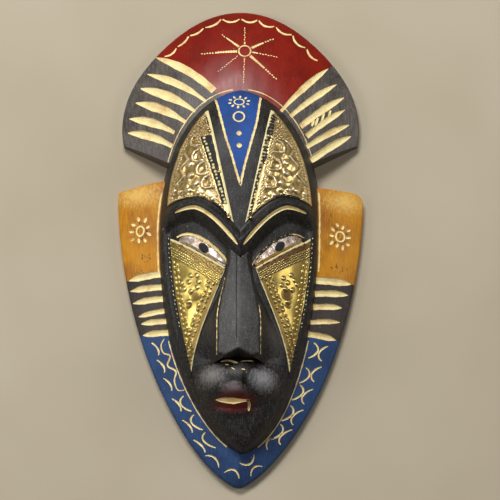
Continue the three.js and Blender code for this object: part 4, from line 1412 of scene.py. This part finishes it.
def cheek_relief(side, x, y, from_inner, from_outer, along):
    """The same for the cheek sheet: a folded rim, a stippled band, ropes and a field with beads."""
    form, sizes = CHEEK_RELIEF[side], CHEEK_SIZES
    lens_x, lens_y = form["lens"]
    below_rope, down_rope = beside_line(x, y, form["rope"])
    below_rim, _ = beside_line(x, y, [CHEEK["top_outer"], CHEEK["top_inner"]])
    ropes_end = (ROPES["count"] - 0.6) * ROPES["step"]
    in_field = smoothstep(below_rope, ropes_end, ropes_end + 0.8)
    waved = below_rope + form["weave"] * np.sin(down_rope * 2.1)
    ropes = 0
    for i in range(ROPES["count"]):
        twist = 0.75 + 0.2 * np.sin(down_rope * 4.2 + i * 2.4)
        ropes = np.maximum(ropes, round_top(waved - i * ROPES["step"], ROPES["half"], twist))
    field = [bead_row(from_inner, along, *beads) for beads in INNER_BEADS]
    field += [bead_row(from_outer, along, *beads) for beads in OUTER_BEADS]
    field += [dome(x, y, bead, *sizes["bead"]) for bead in form["beads"]]
    field += [dome(x, y, form["rosette"], *sizes["rosette"])]
    field += [dome((x - lens_x) * 0.7, y - lens_y, (0, 0), *sizes["lens"])]
    dents = dome(x, y, form["dent"], *sizes["dent"])
    dents = dents + dome(x, y, form["rosette"], *sizes["round_rosette"])
    dents = dents + dome(x, y, (lens_x, lens_y - 1.8), *sizes["below_lens"])
    dots = bead_row(from_outer, along, *RIM_DOTS) * smoothstep(y + 6 * np.sin(along * 0.9), -62, -50)
    # Dot tops poke through the black rim and are coloured cream as painted highlights
    bare_highlit_dots = smoothstep(dots, 0.15, 0.3)
    above_rope = (1 - smoothstep(below_rope, -1.1, -0.5)) * smoothstep(below_rim, 1.7, 2.2)
    fold = round_top(below_rim - 0.8, 1.1)
    relief = np.max([np.max(field, axis=0) * in_field, ropes, 0.9 * fold, dots], axis=0)
    relief = relief + stipple(x, y, 2.3, 0.55) * above_rope - dents + uneven(x, y, 0.25, 12) * in_field
    between_rows = np.maximum(band(from_inner, 0.7, 3, 0.3), band(from_inner, 4.7, 5.9, 0.3))
    browned = np.max([
        0.6 * above_rope,
        0.7 * (1 - in_field) * (1 - smoothstep(ropes, 0.15, 0.5)),
        (0.8 - form["tarnish"]) * between_rows * in_field,
        0.5 * band(from_outer, 5.2, 5.9, 0.3) * in_field,
        0.85 * smoothstep(dents, 0.2, 0.75),
        dome(x, y, form["stain"], *sizes["stain"]) ** 2,
    ], axis=0)
    # The fold's cream is a painted highlight on the lid ridge; the inner edge's cream is paint
    cream = np.max([1 - smoothstep(from_inner, 0.3, 0.8), 0.95 * fold, 0.9 * bare_highlit_dots], axis=0)
    black = (1 - smoothstep(from_outer, 2.7, 3.3)) * (1 - bare_highlit_dots)
    return relief, np.clip(browned + form["tarnish"], 0, 1), cream, black


def blurred(values, columns, reach=5):
    """Values of a grid, each the mean of those around it."""
    field = values.reshape(-1, columns + 1)
    for axis in (0, 1):
        padding = [(reach, reach) if axis == i else (0, 0) for i in (0, 1)]
        padded = np.pad(field, padding, mode="edge")
        windows = np.lib.stride_tricks.sliding_window_view(padded, 2 * reach + 1, axis)
        field = windows.mean(axis=-1)
    return field.ravel()


def add_attributes(mesh, **attributes):
    for name, values in attributes.items():
        attribute = mesh.attributes.new(name, "FLOAT", "POINT")
        attribute.data.foreach_set("value", values.astype(np.float32))


SHEET = dict(thickness=0.55, height=1.2, deepest_dent=0.9, rim_curl=0.25)


def metal_sheet(name, side, columns, rows, place, edges, shift, relief_of, material):
    """A thin sheet that follows the face, its relief in its mesh. What lies lower than its surroundings
    is browned, and what stands higher is rubbed bright, which is also a painted highlight."""
    bm, u, v = grid_points(columns, rows)
    across, up = ((at[:, None] + 1) / 2 for at in (u, v))
    x, y = place(across, up).T
    inner, outer = edges(up)
    width = np.hypot(*(outer - inner).T)
    inner_edge = np.array([edges(np.array([[at]]))[0][0] for at in np.linspace(0, 1, 50)])
    length = np.hypot(*np.diff(inner_edge, axis=0).T).sum()
    along = up[:, 0] * length
    from_inner, from_outer = across[:, 0] * width, (1 - across[:, 0]) * width
    relief, browned, cream, black = relief_of(side, x, y, from_inner, from_outer, along)
    from_rim = np.min([from_inner, from_outer, along, length - along], axis=0)
    relief = relief * smoothstep(from_rim, 0, 0.7)
    hollow = blurred(relief, columns) - relief
    browned = np.maximum(browned, smoothstep(hollow, 0.04, 0.3) * 0.7)
    # Higher points are painted lighter: rubbed metal and a painted highlight both
    rubbed = smoothstep(-hollow, 0.08, 0.36)
    curl = SHEET["rim_curl"] * (1 - smoothstep(from_rim, 0, 1))
    height = SHEET["height"] + np.maximum(relief, -SHEET["deepest_dent"]) - curl
    x = side * x + shift
    place_verts(bm.verts, x, y, face_height(x, y) + height)
    if side < 0:
        bmesh.ops.reverse_faces(bm, faces=bm.faces)
    sheet = new_object(name, bm, material)
    add_attributes(sheet.data, browned=browned, rubbed=rubbed, cream=cream, black=black)
    return thickened(sheet)


def thickened(sheet):
    """Gives a sheet its thickness, downwards from its outer face."""
    sheet.data.shade_smooth()
    step = sheet.modifiers.new("thickness", "SOLIDIFY")
    step.thickness = SHEET["thickness"] * MM
    step.offset = -1
    return sheet


# The pupils: where each stands, and how much steeper than the eye it lies
PUPILS = {-1: dict(along=0.2, across=1.4), 1: dict(along=2.2, across=1.5)}
PUPIL = dict(half_length=3.9, half_width=2.4, turn=math.radians(18))
# The fold in the right eye sheet is at this height, counted from the eye's middle line
EYE_FOLD = -0.6


def eye_sheet(name, side, material):
    """The sheet over an eyeball. Its lower edge is tucked under the cheek sheet."""
    bm, u, v = grid_points(120, 60)
    share = np.sin(u * math.pi / 2)
    upper = almond(share) * EYE_SHEET["above"]
    lower = EYE_SHEET["below"] * np.maximum(1 - share ** 8, 0.01) ** 0.5
    across = np.sin(v * math.pi / 2) * np.where(v > 0, upper, lower)
    along = share * EYE_SHEET["half_length"]
    x, y = eye_point(1, along / EYE["half_length"], across)
    cos, sin = math.cos(PUPIL["turn"]), math.sin(PUPIL["turn"])
    out, up = along - PUPILS[side]["along"], across - PUPILS[side]["across"]
    from_pupil = np.hypot(
        (out * cos + up * sin) / PUPIL["half_length"], (up * cos - out * sin) / PUPIL["half_width"],
    )
    lid_edge = round_top(upper - across - 0.6, 0.5, 0.3) * (v > 0)
    relief = lid_edge + uneven(x, y, 0.14, 5)
    gold = 0 * along
    if side > 0:
        fold = round_top(across - EYE_FOLD, 0.6) * smoothstep(-along, -9, -3)
        relief = relief + 0.5 * fold + 0.12 * np.sin(along * 4) * (across > EYE_FOLD + 0.6)
        gold = np.maximum(0.8 * fold, 1 - smoothstep(across, EYE_FOLD - 0.8, EYE_FOLD))
    relief = relief - 0.15 * (1 - smoothstep(from_pupil, 0.95, 1.05))
    swell = np.maximum(eye_swell(along / EYE["half_length"], across), 0)
    relief = relief * smoothstep(1 - np.maximum(np.abs(u), np.abs(v)), 0, 0.06)
    tucked = 0.6 * smoothstep(-across, 1.4, 2.1)
    x = side * x
    place_verts(bm.verts, x, y, face_height(x, y) + swell + EYE_SHEET["height"] + relief - tucked)
    if side < 0:
        bmesh.ops.reverse_faces(bm, faces=bm.faces)
    sheet = new_object(name, bm, material)
    corners, lower_edge = smoothstep(np.abs(share), 0.7, 1), 1 - smoothstep(across, -1.6, 0.6)
    browned = np.maximum(0.6 * corners, 0.45 * lower_edge)
    add_attributes(sheet.data, browned=browned, gold=gold, black=1 - smoothstep(from_pupil, 0.93, 1.07))
    return thickened(sheet)


# The nails

NAIL = dict(head_radius=1.2, head_height=0.8, shank_radius=0.5, length=6, inset=2.4, above_wood=1.6)
NAILS = {
    "nail_left_1": (-1, 63.9), "nail_left_2": (-1, 37.4), "nail_left_3": (-1, 8.6),
    "nail_right": (1, 8.6),
}


def nail(name, side, y, material):
    """A round nail with a domed head and a small dimple, turned about its own line."""
    foot_x, foot_y = on_brow_side(np.array(FOREHEAD["inner_x"]))
    apex_x, apex_y = FOREHEAD["apex"]
    edge_x = lerp(foot_x, apex_x, (y - foot_y) / (apex_y - foot_y))
    x = side * (edge_x + NAIL["inset"]) + FOREHEAD["shift"]
    radius, height, shank = NAIL["head_radius"], NAIL["head_height"], NAIL["shank_radius"]
    turn = np.arange(12) / 12 * 2 * math.pi
    below_rim = face_height(x + radius * np.cos(turn), y + radius * np.sin(turn))
    seat = np.max(below_rim) + NAIL["above_wood"]
    profile = [
        (0, -NAIL["length"]), (shank, 1 - NAIL["length"]), (shank, 0), (radius, 0),
        (radius, height * 0.3), (radius * 0.8, height * 0.75), (radius * 0.5, height),
        (radius * 0.25, height * 0.95), (0, height * 0.75),
    ]
    bm = bmesh.new()
    verts = [bm.verts.new(Vector((x + r, y, seat + z)) * MM) for r, z in profile]
    edges = [bm.edges.new(pair) for pair in zip(verts, verts[1:])]
    bmesh.ops.spin(
        bm, geom=[*verts, *edges], cent=Vector((x, y, 0)) * MM, axis=(0, 0, 1),
        angle=2 * math.pi, steps=24, use_merge=True,
    )
    bmesh.ops.remove_doubles(bm, verts=bm.verts, dist=1e-6)
    bmesh.ops.recalc_face_normals(bm, faces=bm.faces[:])
    piece = new_object(name, bm, material)
    smooth(piece)
    return piece


def smooth(piece):
    piece.data.shade_smooth()
    piece.data.set_sharp_from_angle(angle=math.radians(34))


# Putting the mask together

def add_piece(piece, node):
    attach(piece, "root")
    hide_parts(node)


body = carved_body()
paint_zones(body)
smooth(body)
add_piece(body, "mask_body")

# Each brass's second colour is its rubbed high points, also a painted highlight
forehead_brass = embossed_brass("embossed_forehead_brass", "#e2c888", "#fff4d4", "#684824")
cheek_brass = embossed_brass("embossed_cheek_brass", "#cdb462", "#fdf0ac", "#644624")
eye_silver = tarnished_silver()
for side, word in ((-1, "left"), (1, "right")):
    forehead = metal_sheet(
        f"forehead_sheet_{word}", side, 120, 230, forehead_place, forehead_edges, FOREHEAD["shift"],
        forehead_relief, forehead_brass,
    )
    add_piece(forehead, f"forehead_plate_{word}")
    cheek = metal_sheet(
        f"cheek_sheet_{word}", side, 120, 280, cheek_place, cheek_edges, CHEEK["shift"],
        cheek_relief, cheek_brass,
    )
    add_piece(cheek, f"cheek_plate_{word}")
    add_piece(eye_sheet(f"eye_sheet_{word}", side, eye_silver), f"eye_plate_{word}")

brass = nail_brass()
for name, (side, y) in NAILS.items():
    add_piece(nail(f"{name}_domed", side, y, brass), name)


# Floor, light and camera, in metres and watts

SOFT_LIGHTS = {
    "upper_softbox": dict(place=(-0.22, 0.75, 1.32), power=20.5, size=(0.7, 0.4)),
    "left_softbox": dict(place=(-1.1, -0.1, 0.9), power=6.5, size=(0.4, 0.6)),
    "right_softbox": dict(place=(1.1, 0.1, 0.8), power=4, size=(0.4, 0.6)),
}
LIT_POINT = (0, 0, 0.03)
CAMERA = dict(x=0.0058, y=-0.0006, elevation=math.radians(76.8), distance=3, seen_width=0.3085)


def floor():
    bm = bmesh.new()
    bmesh.ops.create_grid(bm, x_segments=1, y_segments=1, size=2)
    new_object("table_top", bm, pale_floor())


def soft_light(name, place, power, size):
    light = bpy.data.lights.new(name, "AREA")
    light.shape = "RECTANGLE"
    light.size, light.size_y = size
    light.energy = power
    lamp = bpy.data.objects.new(name, light)
    lamp.location = place
    lamp.rotation_euler = (Vector(LIT_POINT) - lamp.location).to_track_quat("-Z", "Y").to_euler()
    bpy.context.scene.collection.objects.link(lamp)


def camera():
    view = bpy.data.cameras.new("camera")
    view.sensor_width = 36
    view.lens = view.sensor_width * CAMERA["distance"] / CAMERA["seen_width"]
    eye = bpy.data.objects.new("camera", view)
    back = CAMERA["distance"] * math.cos(CAMERA["elevation"])
    up = CAMERA["distance"] * math.sin(CAMERA["elevation"])
    eye.location = (CAMERA["x"], CAMERA["y"] - back, up)
    eye.rotation_euler = (math.pi / 2 - CAMERA["elevation"], 0, 0)
    bpy.context.scene.collection.objects.link(eye)
    bpy.context.scene.camera = eye


floor()
for name, light in SOFT_LIGHTS.items():
    soft_light(name, **light)
world = bpy.data.worlds.new("studio")
world.use_nodes = True
feed(world.node_tree.nodes["Background"], {"Color": "#c4c2bd", "Strength": 0.2})
bpy.context.scene.world = world
bpy.context.scene.view_settings.view_transform = "Standard"
camera()
